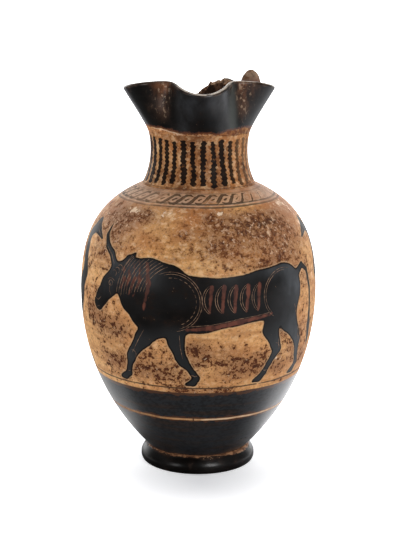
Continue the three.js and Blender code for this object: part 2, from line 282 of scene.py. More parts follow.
def clay_form(name, points, ring=False, unseen=None):
    """One closed surface from rows of points in mm, each row a closed line round the form.
    The UV map runs round in u and along the rows in v, where the rows in unseen get little
    room."""
    rows, sides = points.shape[:2]
    faces = grid_faces(rows, sides, ring)
    mesh = bpy.data.meshes.new(name)
    mesh.from_pydata((points.reshape(-1, 3) * MM).tolist(), [], faces)
    steps = np.linalg.norm(np.roll(points, -1, 0) - points, axis=2).mean(1)
    if unseen is not None:
        steps[unseen] *= 0.15
    along = np.concatenate([[0], np.cumsum(steps if ring else steps[:-1])])
    along /= along[-1]
    row = np.arange(rows if ring else rows - 1)[:, None]
    side = np.arange(sides)[None, :] / sides
    u = np.stack(np.broadcast_arrays(side, side + 1 / sides, side + 1 / sides, side, row)[:4], 2)
    v = np.stack(np.broadcast_arrays(along[row], along[row], along[row + 1], along[row + 1], side)[:4], 2)
    loops = np.stack([u, v], axis=3).reshape(-1, 2)
    if not ring:
        loops = np.vstack([loops, np.zeros((2 * sides, 2))])
        loops[-sides:, 1] = 1
    mesh.uv_layers.new(name="OFBake").data.foreach_set("uv", loops.ravel())
    mesh.polygons.foreach_set("use_smooth", [True] * len(faces))
    form = bpy.data.objects.new(name, mesh)
    bpy.context.scene.collection.objects.link(form)
    return form


def shared_effect(name, inputs, outputs):
    """An empty node group with number inputs and the outputs colour, roughness and height,
    or others that are named, and its Recipe."""
    group = bpy.data.node_groups.new(name, "ShaderNodeTree")
    for socket, value in inputs.items():
        made = group.interface.new_socket(socket, in_out="INPUT", socket_type="NodeSocketFloat")
        made.default_value = value
    for socket, kind in outputs.items():
        group.interface.new_socket(socket, in_out="OUTPUT", socket_type="NodeSocket" + kind)
    recipe = Recipe(group)
    recipe.given = group.nodes.new("NodeGroupInput").outputs
    recipe.result = group.nodes.new("NodeGroupOutput").inputs
    return group, recipe


SURFACE = {"colour": "Color", "roughness": "Float", "height": "Float"}

# The black gloss: a thin skin of sintered clay, with cloudy blue-grey patches painted into its
# colour as sheen, streaks from the wheel, brown where it is thin or rubbed, and pricked with tiny pits.
gloss, g = shared_effect("black_gloss", {"worn": 0.2, "sheen": 0.5}, SURFACE)
cloud = g.noise(g.place(1, 1, 1.6), 24, 5)
streak = g.noise(g.place(1, 1, 14), 34, 4)
rubbed = g.noise(g.place(), 95, 9, 0.68)
patch = g.noise(g.place(), 15, 3)
pit = g.noise(g.place(), 900, 3)
# painted sheen: the sheen input sets how much blue-grey goes into the colour
grey = g.maths("MULTIPLY", g.step(cloud, 0.42, 0.66), g.given["sheen"])
colour = g.mix(grey, (0.0022, 0.0016, 0.0013, 1), (0.0155, 0.016, 0.0175, 1))
colour = g.mix(g.maths("MULTIPLY", g.step(streak, 0.5, 0.7), 0.35), colour, (0.011, 0.0082, 0.0066, 1))
reach = g.maths("MULTIPLY_ADD", g.given["worn"], 0.34, g.maths("MULTIPLY", patch, 0.22))
thin = g.step(g.maths("MULTIPLY_ADD", rubbed, 0.5, reach), 0.36, 0.56)
colour = g.mix(g.maths("MULTIPLY", thin, 0.6), colour, (0.012, 0.006, 0.0038, 1))
bare = g.step(g.maths("ADD", rubbed, reach), 0.74, 0.84)
colour = g.mix(g.maths("MULTIPLY", bare, 0.8), colour, (0.021, 0.0098, 0.0056, 1))
crumb = g.step(g.maths("MULTIPLY_ADD", pit, 1.3, g.maths("ADD", rubbed, reach)), 1.68, 1.75)
colour = g.mix(g.maths("MULTIPLY", crumb, 0.85), colour, (0.3, 0.18, 0.105, 1))
speck = g.step(pit, 0.735, 0.77)
colour = g.mix(g.maths("MULTIPLY", speck, 0.6), colour, (0.2, 0.12, 0.07, 1))
g.feed(g.result["colour"], colour)
rough = g.maths("MULTIPLY_ADD", cloud, 0.22, 0.2)
g.feed(g.result["roughness"], g.blend(bare, rough, 0.62))
relief = g.maths("MULTIPLY_ADD", streak, 0.5, g.maths("MULTIPLY", pit, -0.16))
g.feed(g.result["height"], g.maths("MULTIPLY_ADD", bare, -0.35, relief))


def finish(name, colour, roughness, height, recipe, relief=0.00012, glaze=None, shine=0.2):
    """A material's shader on the ends of its recipe. The relief is the depth of its bump, the
    glaze is a mask of where the dull surface has a clear, even skin on it, and the shine is
    the dull surface's own."""
    shader = recipe.tree.nodes["Principled BSDF"]
    recipe.feed(shader.inputs["Base Color"], colour)
    recipe.feed(shader.inputs["Roughness"], roughness)
    bump = recipe.tree.nodes.new("ShaderNodeBump")
    bump.inputs["Strength"].default_value = 1.0
    bump.inputs["Distance"].default_value = relief
    recipe.feed(bump.inputs["Height"], height)
    recipe.feed(shader.inputs["Normal"], bump.outputs[0])
    shader.inputs["Specular IOR Level"].default_value = shine
    if glaze is not None:
        shader.inputs["Coat Roughness"].default_value = 0.24
        recipe.feed(shader.inputs["Coat Weight"], glaze)


def new_finish(name):
    material = bpy.data.materials.new(name)
    material.use_nodes = True
    return material, Recipe(material.node_tree)


def height_mm(recipe):
    """Height on the object in millimetres."""
    apart = recipe.node("SeparateXYZ", recipe.place())
    return recipe.maths("MULTIPLY", apart.node.outputs[2], 1000.0)


def round_and_up(recipe):
    """The turn round the jug in radians and the height in millimetres."""
    apart = recipe.node("SeparateXYZ", recipe.place()).node.outputs
    turn = recipe.maths("ARCTAN2", apart[0], recipe.maths("MULTIPLY", apart[1], -1.0))
    return turn, recipe.maths("MULTIPLY", apart[2], 1000.0)


edge_x, edge_z = FOOT_EDGE
foot_line = joined(
    np.array([[FOOT_REST[0], 0], [FOOT_REST[1] - 0.3, 0]]),
    curve((FOOT_REST[1] - 0.3, 0), FOOT_REST_HANDLE, (edge_x, FOOT_EDGE_HANDLES[0]), FOOT_EDGE, 24),
    curve(FOOT_EDGE, (edge_x, FOOT_EDGE_HANDLES[1]), FOOT_WAIST_HANDLE, FOOT_WAIST, 24),
    np.array([FOOT_WAIST, (FOOT_BORE + 0.6, FOOT_WAIST[1])]),
    curve((FOOT_BORE + 0.6, FOOT_WAIST[1]), (FOOT_BORE, 13.3), (FOOT_BORE, 13.2), (FOOT_BORE + 0.1, 12.6), 4),
    np.array([(FOOT_BORE + 0.1, 12.6), (33.9, 0.9)]),
    curve((33.9, 0.9), (34.0, 0.3), (34.2, 0.05), (FOOT_REST[0], 0), 4),
)
foot = clay_form("foot_ring", revolved(evenly(foot_line[:-1], 0.7), 256), ring=True)
foot_finish, f = new_finish("foot_gloss")
up = height_mm(f)
top_wear = f.step(f.maths("MULTIPLY_ADD", f.noise(f.place(), 60, 6), 5.0, up), 13.2, 15.6)
turn, up = round_and_up(f)
on_right = f.step(turn, 0.3, 0.9)
crusty = f.maths("MULTIPLY_ADD", f.noise(f.place(), 170, 8, 0.66), 4.4, f.maths("ADD", up, on_right))
joint_crust = f.step(crusty, 14.6, 15.0)
under_wear = f.step(up, 1.2, 0.1)
wear = f.maths("MAXIMUM", top_wear, under_wear)
surface = f.effect(gloss, worn=f.blend(wear, 0.16, 0.85), sheen=0.4)
crust_tone = f.mix(f.step(f.noise(f.place(), 300, 5), 0.42, 0.6), (0.12, 0.052, 0.026, 1), JOINT_CRUST)
colour = f.mix(joint_crust, surface["colour"], crust_tone)
relief = f.maths("MULTIPLY_ADD", joint_crust, 1.5, surface["height"])
glaze = f.node("MapRange", f.noise(f.place(), 30, 3), 0.35, 0.65, 0.08, 0.34)
glaze = f.blend(f.maths("MAXIMUM", wear, joint_crust), glaze, 0.0)
finish("foot_gloss", colour, surface["roughness"], relief, f, glaze=glaze)
foot.data.materials.append(foot_finish)
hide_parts("foot")
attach(foot, "root")

# BODY
# An egg-shaped body thrown in orange-tan clay. The lower part is black, with one clay line
# left bare; above it stands the frieze, and a ring of linked strokes runs round the shoulder.
BODY_BOTTOM = np.array([38.95, 13.4])
BODY_RISE = np.array([27.1, 28])
BELLY = np.array([90.15, 136.5])
BELLY_BELOW = np.array([0, -54.7])
BELLY_ABOVE = np.array([0, 45.6])
SHOULDER_TOP = np.array([42.85, 218.65])
SHOULDER_REACH = np.array([33.7, -14.5])
BODY_WALL = 5.5
BODY_FLOOR = 21.0
BODY_HOLE = 37.6
BODY_SIDES = 360
ROW_SPACING = 1.65
BAND_ROW_SPACING = 0.45
BAND_START = 208.5

body_outer = joined(
    curve(BODY_BOTTOM, BODY_BOTTOM + BODY_RISE, BELLY + BELLY_BELOW, BELLY, 200),
    curve(BELLY, BELLY + BELLY_ABOVE, SHOULDER_TOP + SHOULDER_REACH, SHOULDER_TOP, 200),
)
in_band = body_outer[:, 1] > BAND_START
body_outer = joined(
    evenly(body_outer[~in_band], ROW_SPACING),
    evenly(body_outer[np.argmax(in_band) - 1 :], BAND_ROW_SPACING),
)
along = np.gradient(body_outer, axis=0)
along /= np.hypot(*along.T)[:, None]
parallel = body_outer + BODY_WALL * np.column_stack([-along[:, 1], along[:, 0]])
body_inner = evenly(parallel[(parallel[:, 1] > BODY_FLOOR + 4) & (parallel[:, 0] > BODY_HOLE)], 5.0)[::-1]
underside = np.column_stack([np.linspace(1, BODY_BOTTOM[0] - 1.2, 12), np.full(12, BODY_BOTTOM[1])])
floor_reach = body_inner[-1][0] - 4
floor_line = joined(
    curve(body_inner[-1], body_inner[-1] + [-1, -2.2], (floor_reach + 1, BODY_FLOOR), (floor_reach, BODY_FLOOR), 5),
    np.column_stack([np.linspace(floor_reach, 1, 8), np.full(8, BODY_FLOOR)]),
)
body_line = np.vstack(
    [
        underside,
        body_outer,
        [(BODY_HOLE + 0.4, SHOULDER_TOP[1]), (BODY_HOLE, SHOULDER_TOP[1] - 0.5), (BODY_HOLE, SHOULDER_TOP[1] - 4.2)],
        body_inner,
        floor_line[1:],
    ]
)
outer_rows = slice(len(underside), len(underside) + len(body_outer))
unseen_rows = np.ones(len(body_line), bool)
unseen_rows[outer_rows] = False
body_points = revolved(body_line, BODY_SIDES)
body = clay_form("thrown_body", body_points, unseen=unseen_rows)

# Figures on the frieze are drawn flat, in mm along the belly and up from the ground line
FRIEZE_RADIUS = 88.0
body_turns = np.linspace(-math.pi, math.pi, BODY_SIDES, endpoint=False)
frieze_round = FRIEZE_RADIUS * 2 * math.pi
heights = np.broadcast_to(body_line[:, 1:], (len(body_line), BODY_SIDES))


def flat_place(centre, mirror=1):
    """Distance along the frieze from a centre, the short way round, and height."""
    across = FRIEZE_RADIUS * body_turns - centre
    across = (across + frieze_round / 2) % frieze_round - frieze_round / 2
    return np.broadcast_to(across * mirror, heights.shape), heights


def melt(first, second, softness=2.5):
    """The lower of two distances, rounded where they meet."""
    share = np.clip(0.5 + 0.5 * (second - first) / softness, 0, 1)
    return second * (1 - share) + first * share - softness * share * (1 - share)


def limb(place, *joints, softness=2.5):
    """Distance outside a chain of round joints (across, up, radius), tapering evenly between:
    the distance to the nearest point of each stretch, less the radius there."""
    across, up = place
    whole = np.full(across.shape, 1e6)
    for (u0, z0, r0), (u1, z1, r1) in zip(joints[:-1], joints[1:]):
        du, dz = u1 - u0, z1 - z0
        share = np.clip(((across - u0) * du + (up - z0) * dz) / (du * du + dz * dz), 0, 1)
        away = np.hypot(across - u0 - share * du, up - z0 - share * dz)
        whole = melt(whole, away - r0 - share * (r1 - r0), softness)
    return whole


def merged(*distances):
    whole = distances[0]
    for distance in distances[1:]:
        whole = melt(whole, distance)
    return whole


def bull(place):
    """A walking bull: trunk and hump, neck, dewlap and head, horn and ear, legs and tail."""
    return merged(
        limb(place, (-38, 145, 23), (-15, 144, 20), (8, 146, 17.5), (30, 149, 18), (50, 150, 20)),
        limb(place, (-40, 156, 17), (-54, 160.5, 15.2), (-68, 162, 12.8), (-78, 161, 10)),
        limb(place, (-76, 153, 6), (-67, 145, 9.5), (-56, 137, 12), (-44, 130, 11)),
        limb(place, (-80, 160.5, 9.5), (-89, 152, 8.2), (-96, 143.5, 6.4), (-100.5, 137.5, 5.8)),
        limb(place, (-84, 167, 3.2), (-89.5, 175, 2.9), (-97, 180, 2.4), (-102.5, 187, 1.7), (-102, 196, 0.5),
             softness=1),
        limb(place, (-76, 168, 2.6), (-71.5, 173.5, 3.1), (-66.5, 178, 0.9), softness=1),
        limb(place, (-46, 132, 11), (-58, 117, 6.5), (-67, 106, 4), (-69.5, 101.5, 3.8), softness=2),
        limb(place, (-69.5, 102, 3.6), (-73, 92, 2.2), (-74, 88, 2.5), (-79, 84.5, 2.6), (-83, 83.4, 1.5), softness=2),
        limb(place, (-34, 130, 10), (-33, 116, 6), (-30, 105, 4.0), (-28, 101, 3.6), softness=2),
        limb(place, (-28, 102, 3.5), (-21, 92.5, 2.2), (-18.5, 88.5, 2.5), (-21, 84.7, 2.7), (-26, 83.4, 1.5), softness=2),
        limb(place, (52, 142, 16), (56, 127, 9), (65, 115, 5), (69.5, 108, 3.9), softness=2),
        limb(place, (69.5, 108, 3.8), (71.5, 98, 2.4), (75, 89.5, 2.5), (72, 84.9, 2.8), (67, 83.4, 1.5), softness=2),
        limb(place, (44, 138, 13), (38, 123, 7), (43.5, 111, 4.6), (46, 106, 3.8), softness=2),
        limb(place, (46, 106, 3.7), (40, 96, 2.4), (36.5, 89, 2.5), (33, 84.8, 2.8), (28, 83.4, 1.5), softness=2),
        limb(place, (66, 160, 3), (74, 165, 2.1), (81, 160, 1.7), (85, 146, 1.5), (86, 127, 1.5), softness=1),
        limb(place, (86, 126, 1.8), (87, 117, 3.4), (90, 106, 2.4), (91, 99, 0.5), softness=1),
    )


def goose(place):
    """A standing water bird: body and tail, a bent neck, head and bill, and two legs."""
    return merged(
        limb(place, (-6, 128, 15), (8, 132, 14), (16, 138, 10)),
        limb(place, (-10, 130, 12), (-30, 120, 7), (-46, 112, 3)),
        limb(place, (16, 140, 8), (27, 156, 5.5), (22, 172, 4.5), (18, 182, 4.6), (26, 190, 5.4)),
        limb(place, (26, 190, 5), (36, 187, 2.6), (46, 183, 0.8), softness=1),
        limb(place, (-4, 116, 5), (-6, 102, 2.2), (-3, 87, 2), (7, 84, 1.4), softness=1),
        limb(place, (6, 117, 5), (8, 102, 2.2), (14, 88, 2), (24, 85, 1.4), softness=1),
    )


BULL_CENTRE = 12
beasts = [
    (bull, BULL_CENTRE, 1),
    (goose, -142, 1),
    (goose, 146, -1),
    (bull, 268, -1),
]
figure = np.full(heights.shape, 1e6)
for beast, centre, mirror in beasts:
    figure = np.minimum(figure, beast(flat_place(centre, mirror)))
red = np.full(heights.shape, 1e6)
for centre, mirror in [(BULL_CENTRE, 1), (268, -1)]:
    place = flat_place(centre, mirror)
    for across in (-8, 1, 10, 19, 28):
        red = np.minimum(red, limb(place, (across, 157, 1.6), (across - 1.5, 139, 1.0)))
    red = np.minimum(red, limb(place, (-26, 126, 0.9), (-8, 127.6, 1.6), (12, 131.2, 1.7), (38, 134.2, 0.9)))
    red = np.minimum(red, limb(place, (-55.5, 172, 1.2), (-53.5, 158, 1.5), (-57, 138, 0.9)))
    for fold in range(4):
        start, end = (-62 - 4.6 * fold, 173 - 1.5 * fold), (-66 - 3.6 * fold, 147 + 1.5 * fold)
        bend = (-60.5 - 4.4 * fold, 160)
        red = np.minimum(red, limb(place, (*start, 0.5), (*bend, 0.9), (*end, 0.4)))
for centre, mirror in [(-142, 1), (146, -1)]:
    place = flat_place(centre, mirror)
    for across in (-14, -6, 2):
        red = np.minimum(red, limb(place, (across, 138, 1.5), (across - 5, 122, 1.2)))

# The ring of linked strokes round the shoulder, drawn flat as well: each is a long S that lies
# on its side, leaning to the right, with a drop in the eye between it and the next.
LINK_COUNT = 35
LINK_RADIUS = 52.6
link_pitch = LINK_RADIUS * 2 * math.pi / LINK_COUNT
link_across = (LINK_RADIUS * body_turns + 2.0) % link_pitch - link_pitch / 2
link_across = np.broadcast_to(link_across, heights.shape)
link_up = np.broadcast_to(LINK_RADIUS - body_line[:, :1], heights.shape)
linked = np.full(heights.shape, 1e6)
for shift in (-link_pitch, 0, link_pitch):
    place = (link_across - shift, link_up)
    stroke = limb(
        place, (-8.2, -3.2, 0.4), (-6.4, -4.5, 0.75), (-3.5, -4.3, 0.95), (-1.4, -1.9, 1.1),
        (1.4, 1.9, 1.1), (3.5, 4.3, 0.95), (6.4, 4.5, 0.75), (8.2, 3.2, 0.4), softness=0.7,
    )
    linked = np.minimum(linked, stroke)
    drop = limb((place[0] - link_pitch / 2, link_up), (-1.1, -0.8, 0.7), (1.0, 0.8, 0.45), softness=0.4)
    linked = np.minimum(linked, drop)
on_shoulder = heights > BAND_START - 2
fade_right = np.clip((body_turns - 0.35) / 0.5, 0, 1) * np.clip((2.6 - body_turns) / 0.5, 0, 1)
linked = np.where(on_shoulder, linked + 0.95 * fade_right, 30.0)


# Where soil has stained the clay: turn in degrees, height in mm, reach of each, and strength
STAINS = [
    (-55, 200, 15, 10, 0.7), (-39, 204, 7, 5, 0.7), (-56, 188, 10, 12, 0.4), (5, 205, 6, 5, 0.7),
    (14, 196, 14, 11, 0.5), (30, 198, 13, 11, 0.6), (44, 201, 14, 11, 0.7), (54, 186, 14, 16, 0.45),
    (42, 178, 12, 10, 0.35), (30, 170, 16, 6, 0.4), (12, 180, 12, 7, 0.3), (-55, 170, 12, 9, 0.35),
    (46, 156, 26, 26, 0.36), (16, 190, 26, 14, 0.28), (4, 108, 18, 9, 0.45), (8, 78, 9, 3, 0.9),
    (-12, 78, 9, 3, 0.7), (50, 79, 14, 3, 0.6), (24, 90, 24, 12, 0.12), (-62, 128, 9, 20, 0.4),
    (-13, 141, 8, 7, 0.8), (-47, 120, 12, 10, 0.7), (-54, 97, 10, 10, 0.5), (-37, 96, 13, 8, 0.6),
    (-20, 90, 12, 6, 0.4), (-5, 112, 6, 10, 0.55), (17, 93, 13, 9, 0.62), (29, 98, 10, 12, 0.4), (40, 92, 6, 8, 0.7),
    (52, 110, 8, 17, 0.8), (62, 92, 9, 8, 0.6), (37, 117, 5, 4, 0.8), (17, 124, 8, 6, 0.4),
]
# Where the shoulder is painted paler and greyer as sheen, a painted highlight on each side, in the same terms
SHOULDER_SHEEN = [(-58, 206, 26, 16, 1.0), (-50, 190, 16, 12, 0.4), (66, 207, 20, 14, 0.9)]
# Where it is scuffed down to pale clay, in the same terms
SCUFFS = [
    (-49, 206, 7, 4, 1.0), (-24, 205, 8, 3, 0.9), (9, 205, 6, 4, 1.0), (73, 194, 7, 18, 0.95),
    (64, 207, 8, 5, 0.8), (70, 150, 6, 16, 0.8), (-72, 196, 6, 8, 0.7), (38, 99, 10, 6, 0.75),
    (-62, 92, 8, 8, 0.8),
]
# Where the figures turn dark bluish grey, partly thin paint on the legs and partly painted sheen on the heads and the
# rump, in the same terms
SLATE_AND_SHEEN = [
    (-56, 166, 12, 15, 0.9), (-33, 166, 9, 9, 0.8), (49, 146, 9, 24, 0.95), (36, 166, 12, 5, 0.6),
    (-45, 108, 10, 12, 0.6), (50, 108, 14, 14, 0.6),
]


def spread_over(spots, turns, heights):
    """How much lies on each point: the sum over the spots, and over the same ones once more on
    the back, of strength times exp(-a^2 - b^2), with a and b the distances by the reaches."""
    total = np.zeros(heights.shape)
    for turn, height, turn_reach, height_reach, strength in spots:
        for centre in (turn, turn + 180):
            apart = (np.degrees(turns) - centre + 180) % 360 - 180
            total += strength * np.exp(-((apart / turn_reach) ** 2) - ((heights - height) / height_reach) ** 2)
    return total


def store(form, name, values):
    """A number for each point of a form, for its finish to read."""
    attribute = form.data.attributes.new(name, "FLOAT", "POINT")
    attribute.data.foreach_set("value", np.ascontiguousarray(values, np.float32).ravel())


store(body, "figure", np.clip(figure, -30, 30))
store(body, "red_paint", np.clip(red, -30, 30))
store(body, "linked", np.clip(linked, -30, 30))
store(body, "soiled", spread_over(STAINS, body_turns, heights))
store(body, "bloom", spread_over(SHOULDER_SHEEN, body_turns, heights))
store(body, "scuffed", spread_over(SCUFFS, body_turns, heights))
store(body, "slate_and_sheen", spread_over(SLATE_AND_SHEEN, body_turns, heights))

# Fired clay: orange-tan with faint streaks from the wheel, clouded, washed mauve-brown where
# it is stained, with crisp dark marks that have a pale edge, pale chips, and a fine grain.
clay, c = shared_effect("fired_clay", {"stained": 0.5, "bloom": 0.0}, SURFACE)
cloud = c.noise(c.place(1, 1, 1.7), 20, 5)
streak = c.noise(c.place(1, 1, 9), 26, 5)
mottle = c.noise(c.place(1, 1, 1.2), 190, 8, 0.7)
crumb = c.noise(c.place(), 520, 6, 0.65)
cluster = c.noise(c.place(1, 1, 1.6), 70, 6, 0.66)
zone = c.noise(c.place(1, 1, 1.5), 14, 2)
tint = c.noise(c.place(), 30, 4)
chip = c.noise(c.place(), 330, 5, 0.6)
grain = c.noise(c.place(), 1500, 3)
colour = c.mix(c.step(cloud, 0.4, 0.6), (0.52, 0.188, 0.048, 1), (0.74, 0.385, 0.138, 1))
high = c.step(height_mm(c), 150, 190)
colour = c.mix(c.blend(high, 0.45, 0.0), colour, (0.82, 0.48, 0.205, 1))
paler = c.maths("MULTIPLY", c.step(mottle, 0.49, 0.39), c.blend(high, 0.42, 0.85))
colour = c.mix(paler, colour, (0.88, 0.6, 0.34, 1))
colour = c.mix(c.maths("MULTIPLY", c.step(streak, 0.48, 0.66), 0.5), colour, (0.42, 0.163, 0.048, 1))
colour = c.mix(c.maths("MULTIPLY", c.step(mottle, 0.5, 0.62), 0.6), colour, (0.29, 0.103, 0.031, 1))
colour = c.mix(c.maths("MULTIPLY", c.step(crumb, 0.5, 0.62), 0.4), colour, (0.2, 0.068, 0.022, 1))
veil = c.node("MapRange", c.given["stained"], 0.26, 1.1, 0.0, 0.62)
colour = c.mix(veil, colour, (0.25, 0.085, 0.027, 1))
# painted sheen: the clay is greyed and paled where the shoulder's painted highlight lies
bloomed = c.maths("MULTIPLY", c.given["bloom"], c.node("MapRange", mottle, 0.62, 0.4, 0.25, 0.7))
colour = c.mix(bloomed, colour, (0.4, 0.235, 0.155, 1))
spread = c.maths("MULTIPLY_ADD", zone, 0.6, c.maths("MULTIPLY", cluster, 0.5))
spread = c.maths("MULTIPLY_ADD", c.given["stained"], 0.26, spread)
wash = c.maths("MULTIPLY_ADD", mottle, 0.5, spread)
wash = c.step(wash, c.blend(high, 0.93, 0.88), c.blend(high, 1.07, 1.14))
wash = c.maths("MULTIPLY", wash, c.node("MapRange", crumb, 0.38, 0.6, 0.3, 1.0))
wash = c.maths("MULTIPLY", wash, c.blend(high, 0.88, 0.95))
greyer = c.step(c.maths("MULTIPLY_ADD", high, 0.25, tint), 0.58, 0.8)
colour = c.mix(wash, colour, c.mix(greyer, (0.165, 0.048, 0.013, 1), (0.175, 0.068, 0.031, 1)))
vein = c.between(c.noise(c.place(1, 1, 1.1), 120, 6, 0.62), 0.488, 0.512, 0.012)
vein = c.maths("MULTIPLY", vein, c.step(spread, 0.66, 0.76))
colour = c.mix(c.maths("MULTIPLY", vein, c.blend(high, 0.7, 0.4)), colour, (0.15, 0.052, 0.02, 1))
marks = c.maths("MULTIPLY_ADD", crumb, 0.6, c.maths("MULTIPLY", spread, 0.55))
marks = c.maths("MULTIPLY_ADD", mottle, 0.9, c.maths("SUBTRACT", marks, 0.228))
beside_mark = c.maths("MULTIPLY", c.between(marks, 0.925, 0.97, 0.02), c.blend(wash, 0.12, 0.32))
colour = c.mix(beside_mark, colour, (0.82, 0.52, 0.27, 1))
stain = c.step(marks, 0.988, 1.014)
colour = c.mix(c.maths("MULTIPLY", stain, c.blend(high, 0.95, 0.35)), colour, (0.088, 0.026, 0.009, 1))
colour = c.mix(c.maths("MULTIPLY", c.step(marks, 1.07, 1.12), 0.7), colour, (0.045, 0.016, 0.008, 1))
granule = c.maths("MULTIPLY", c.maths("MULTIPLY", c.step(chip, 0.53, 0.62), wash), c.maths("MULTIPLY", high, 0.5))
colour = c.mix(granule, colour, (0.66, 0.44, 0.29, 1))
chipped = c.maths("MULTIPLY", c.step(c.maths("MULTIPLY_ADD", high, 0.03, chip), 0.632, 0.652), wash)
colour = c.mix(c.maths("MULTIPLY", chipped, 0.6), colour, (0.84, 0.58, 0.36, 1))
c.feed(c.result["colour"], colour)
c.feed(c.result["roughness"], c.blend(stain, 0.5, 0.7))
rise = c.maths("MULTIPLY_ADD", stain, 0.5, c.maths("MULTIPLY", grain, 0.25))
c.feed(c.result["height"], c.maths("MULTIPLY_ADD", mottle, 0.5, rise))

BLACK_TOP = 76.2
BARE_LINE = (51.5, 53.1)
GROUND_LINE = (79.6, 80.7)
SHOULDER_LINES = [(208.9, 209.8), (210.7, 211.6)]
TOP_LINE = (216.9, 217.5)

body_finish, b = new_finish("painted_clay")
turn, up = round_and_up(b)
stained = b.node("MapRange", up, 160, 195, 0.27, 0.46)
stained = b.maths("ADD", stained, b.node("Attribute", attribute_name="soiled", output="Fac"))
bloom = b.node("Attribute", attribute_name="bloom", output="Fac")
bare_clay = b.effect(clay, stained=b.blend(b.step(up, 203, 210), stained, 0.3), bloom=bloom)
ring_ground = b.step(b.noise(b.place(), 90, 7, 0.66), 0.4, 0.6)
ring_ground = b.mix(ring_ground, (0.22, 0.09, 0.045, 1), (0.68, 0.42, 0.27, 1))
orange = b.maths("MULTIPLY", b.step(b.noise(b.place(), 36, 4), 0.47, 0.6), 0.6)
ring_ground = b.mix(orange, ring_ground, (0.62, 0.28, 0.11, 1))
# the ring's ground is paled under the painted shoulder highlight
ring_ground = b.mix(b.maths("MULTIPLY", bloom, 0.55), ring_ground, (0.72, 0.54, 0.41, 1))
bare_tone = b.mix(b.maths("MULTIPLY", b.step(up, 208, 211), 0.65), bare_clay["colour"], ring_ground)
scuffed = b.maths("MULTIPLY", b.node("Attribute", attribute_name="scuffed", output="Fac"), 0.4)
scuffed = b.maths("ADD", scuffed, b.noise(b.place(1, 1, 0.8), 230, 6, 0.62))
scuffed = b.maths("MULTIPLY", b.step(scuffed, 0.85, 0.9), 0.85)
bare_tone = b.mix(scuffed, bare_tone, (0.86, 0.66, 0.47, 1))
hand = b.maths("MULTIPLY_ADD", b.noise(b.place(), 45, 2), 1.4, -0.7)
up = b.maths("ADD", up, hand)
black_zone = b.step(up, BLACK_TOP + 0.3, BLACK_TOP - 0.3)
bare_line = b.between(up, *BARE_LINE, 0.3)
broken_edge = b.maths("MULTIPLY_ADD", b.noise(b.place(1, 1, 2), 120, 7, 0.66), 9.0, b.maths("SUBTRACT", up, 4.5))
seeping = b.maths("MAXIMUM", b.between(broken_edge, BARE_LINE[0] - 1.3, BARE_LINE[1] + 1.6, 0.5),
                  b.between(broken_edge, BLACK_TOP - 2.2, BLACK_TOP + 0.3, 0.5))
bridged = b.step(b.noise(b.place(), 42, 3), 0.655, 0.68)
bridged = b.maths("MAXIMUM", bridged, b.between(turn, -0.115, -0.1, 0.006))
bare_line = b.maths("MULTIPLY", bare_line, b.maths("SUBTRACT", 1.0, bridged))
bands = b.maths("MULTIPLY", black_zone, b.maths("SUBTRACT", 1.0, bare_line))
line_worn = b.step(b.noise(b.place(), 120, 5), 0.68, 0.56)
ground_line = b.maths("MULTIPLY", b.between(up, *GROUND_LINE, 0.25), b.maths("MULTIPLY", line_worn, 0.92))
lines = b.maths("MULTIPLY", b.between(up, *TOP_LINE, 0.2), 0.4)
for low, high in SHOULDER_LINES:
    lines = b.maths("MAXIMUM", lines, b.between(up, low, high, 0.2))
# the painted shoulder highlight also veils the lines and the ring
less_bloom = b.maths("MULTIPLY_ADD", bloom, -0.45, 0.9)
lines = b.maths("MULTIPLY", lines, b.maths("MULTIPLY", b.blend(line_worn, 0.55, 1.0), less_bloom))
from_ring = b.node("Attribute", attribute_name="linked", output="Fac")
from_ring = b.maths("MULTIPLY_ADD", b.noise(b.place(), 330, 4), 1.1, b.maths("SUBTRACT", from_ring, 0.55))
beside_ring = b.maths("MULTIPLY", b.between(from_ring, 0.4, 1.0, 0.2), 0.4)
ring = b.maths("MULTIPLY", b.step(from_ring, 0.3, -0.1), b.step(b.noise(b.place(), 75, 6), 0.33, 0.45))
ring = b.maths("MULTIPLY", ring, less_bloom)
ring_tone = b.mix(b.step(from_ring, -0.1, -0.8), (0.036, 0.02, 0.012, 1), (0.082, 0.052, 0.032, 1))
distance = b.node("Attribute", attribute_name="figure", output="Fac")
ragged = b.maths("MULTIPLY_ADD", b.noise(b.place(), 300, 4), 0.9, -0.45)
figures = b.step(b.maths("ADD", distance, ragged), 0.3, -0.3)
flaked = b.step(b.noise(b.place(), 160, 8, 0.7), 0.715, 0.69)
figures = b.maths("MULTIPLY", figures, flaked)
red_distance = b.node("Attribute", attribute_name="red_paint", output="Fac")
red_worn = b.maths("MULTIPLY_ADD", b.noise(b.place(), 260, 6), 2.6, -1.2)
red = b.maths("MULTIPLY", b.step(b.maths("ADD", red_distance, red_worn), 0.5, -0.4), figures)
low_wear = b.step(b.maths("MULTIPLY_ADD", b.noise(b.place(), 55, 7), 6.0, up), 19.4, 16.6)
painted = b.effect(gloss, worn=b.blend(low_wear, 0.1, 0.9), sheen=0.75)
wheel = b.noise(b.place(1, 1, 11), 20, 4)
band_tone = b.mix(b.step(wheel, 0.48, 0.64), (0.0265, 0.0292, 0.0335, 1), (0.042, 0.027, 0.0205, 1))
fine = b.noise(b.place(1, 1, 1.6), 330, 5)
band_tone = b.mix(b.maths("MULTIPLY", b.step(fine, 0.46, 0.6), 0.6), band_tone, (0.011, 0.01, 0.0105, 1))
band_tone = b.mix(b.blend(low_wear, 0.7, 0.1), painted["colour"], band_tone)
band_tone = b.mix(b.maths("MULTIPLY", seeping, 0.8), band_tone, (0.09, 0.036, 0.016, 1))
figure_paint = b.effect(gloss, worn=0.13, sheen=0.6)
charcoal = b.maths("MULTIPLY_ADD", b.noise(b.place(), 11, 2), 60.0, b.maths("SUBTRACT", up, 30.0))
charcoal = b.step(charcoal, 128, 112)
